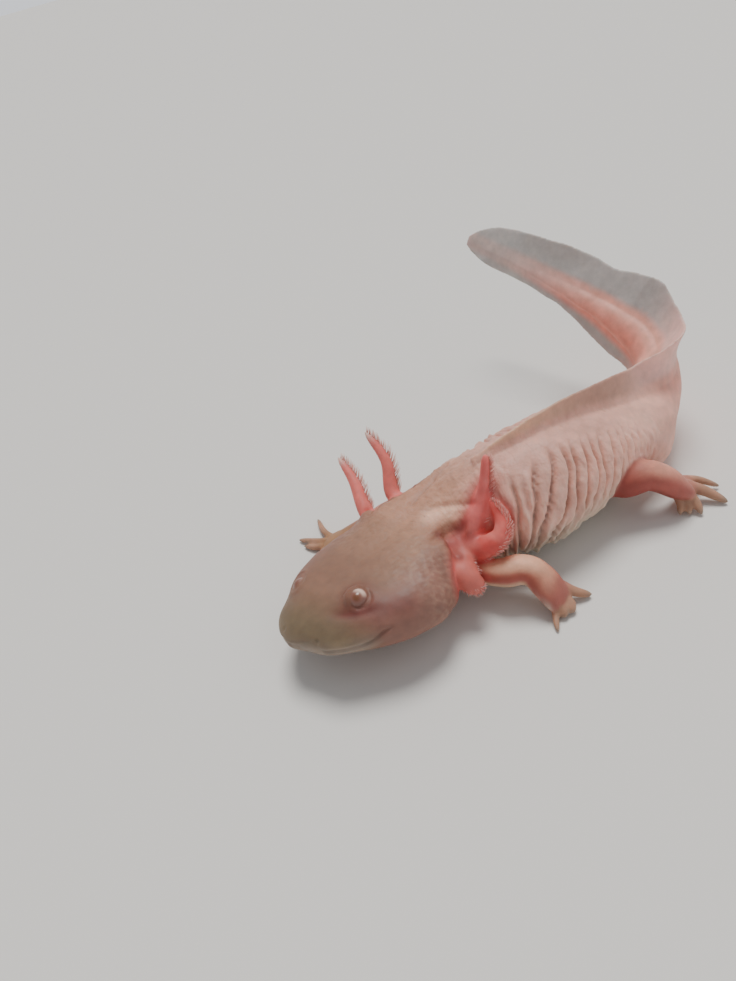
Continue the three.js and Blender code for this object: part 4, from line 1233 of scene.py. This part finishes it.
filaments = {
    "length": [[0, 1.4], [0.25, 2.2], [0.6, 2.6], [0.85, 2.2], [1, 1.2]],
    "short": {"gill_left_upper": 0.8, "gill_left_middle": 0.5, "gill_left_lower": 0.45},
    "spacing": 0.46, "from": 0.25, "to": 0.98, "sunk": 0.86,
    "rows": {  # degrees round the gill, from the middle of its fringe
        "gill_left_upper": range(-38, 35, 24), "gill_left_middle": range(-44, 29, 18),
        "gill_left_lower": range(-75, 76, 15), "gill_right_upper": [-12, 12],
        "gill_right_middle": [-12, 12], "gill_right_lower": [-16, 14]},
    "tipward": {"gill_left_upper": 0.7, "gill_left_middle": 0.9, "gill_left_lower": 0.5},
    "thick": [0.12, 0.11, 0.09, 0.04], "sides": 5,
    "root": "dd8a80", "tip": "eec0b4", "leftTip": "dd9088",
}
random = np.random.default_rng(11)


def filamentMaterial():
    return colouredMaterial("gillFilament", "filamentColour", {
        "Roughness": 0.35, "Subsurface Weight": 0.6, "Subsurface Radius": (1.2, 0.7, 0.6),
        "Subsurface Scale": 0.001, "Specular IOR Level": 0.4})


def hairRings(root, away, back, tipward, length, short):
    # rings along one tapered hair, which leans and curls towards the gill's tip
    v = filaments
    long = length * random.uniform(0.75, 1.15) * short
    way = unit(away + (tipward + random.uniform(-0.15, 0.2)) * back
               + random.normal(size=3) * 0.07)
    curl = unit(back + random.normal(size=3) * 0.2) * random.uniform(0.05, 0.35)
    side = unit(np.cross(way, random.normal(size=3)))
    other = np.cross(way, side)
    angle = np.linspace(0, 2 * np.pi, v["sides"], endpoint=False)[:, None]
    rings = []
    for far, thick in zip(np.linspace(0, 1, len(v["thick"])), v["thick"]):
        middle = root + way * long * far + curl * long * far ** 2
        rings.append(middle + thick * (np.cos(angle) * side + np.sin(angle) * other))
    return rings


def hairFaces(first, sides, rings):
    # the sides and both ends of a hair whose points start at first
    faces = []
    for k in range(rings - 1):
        for n in range(sides):
            a, b = first + k * sides + n, first + k * sides + (n + 1) % sides
            faces.append([a, b, b + sides, a + sides])
    last = first + (rings - 1) * sides
    faces.append([last + n for n in range(sides)])
    faces.append([first + n for n in reversed(range(sides))])
    return faces


def addFilaments(name, material, steps=200):
    v = filaments
    line, size = smoothLine(gills["lines"][name], steps + 1)
    back = unit(np.gradient(line, axis=0))
    fringe = np.array(gills["fringe"][name], float)
    out = unit(fringe - back * (back @ fringe)[:, None])
    across = np.cross(back, out)
    radius, length = along(gillRadius(name)), along(v["length"])
    tipward, short = v["tipward"].get(name, 1.1), v["short"].get(name, 1)
    rootColour, tipColour = paint(v["root"]), paint(v["leftTip" if "left" in name else "tip"])
    places = np.arange(v["from"], v["to"], v["spacing"] / size)
    points, faces, colours, unwrap = [], [], [], []
    for degrees in v["rows"][name]:
        for t in places + random.uniform(-0.3, 0.3, len(places)) * v["spacing"] / size:
            t = float(np.clip(t, 0, 1))
            i = int(round(t * steps))
            turn = math.radians(degrees + random.uniform(-9, 9))
            away = math.cos(turn) * out[i] + math.sin(turn) * gills["flatness"] * across[i]
            root = line[i] + v["sunk"] * radius(t) * away
            rings = hairRings(root, away, back[i], tipward, float(length(t)), short)
            faces += hairFaces(len(points) * v["sides"], v["sides"], len(rings))
            # each hair has its own small place in the map, along t and round the gill
            u = t + 0.003 * (np.arange(v["sides"]) / v["sides"] - 0.5)
            for k, ring in enumerate(rings):
                far = k / (len(rings) - 1)
                tone = rootColour + (tipColour - rootColour) * far
                points.append(ring)
                colours.append(np.repeat(tone[None], v["sides"], 0))
                unwrap.append(np.stack([u, 0 * u + (degrees + 180) / 360 + 0.003 * far], 1))
    points = np.vstack(points)
    points[:, 2] = np.maximum(points[:, 2], 0.05)
    mesh = newMesh(name, (points + shift) * mm, faces)
    setColours(mesh, "filamentColour", np.vstack(colours))
    layer = mesh.uv_layers.new(name="OFBake")
    loops = np.empty(len(mesh.loops), np.int32)
    mesh.loops.foreach_get("vertex_index", loops)
    layer.data.foreach_set("uv", np.vstack(unwrap)[loops].astype(np.float32).ravel())
    addPiece(name + "_filaments", mesh, material, [])


filamentFlesh = filamentMaterial()
for gillName in gills["lines"]:
    addFilaments(gillName, filamentFlesh)
print("gill filaments done")
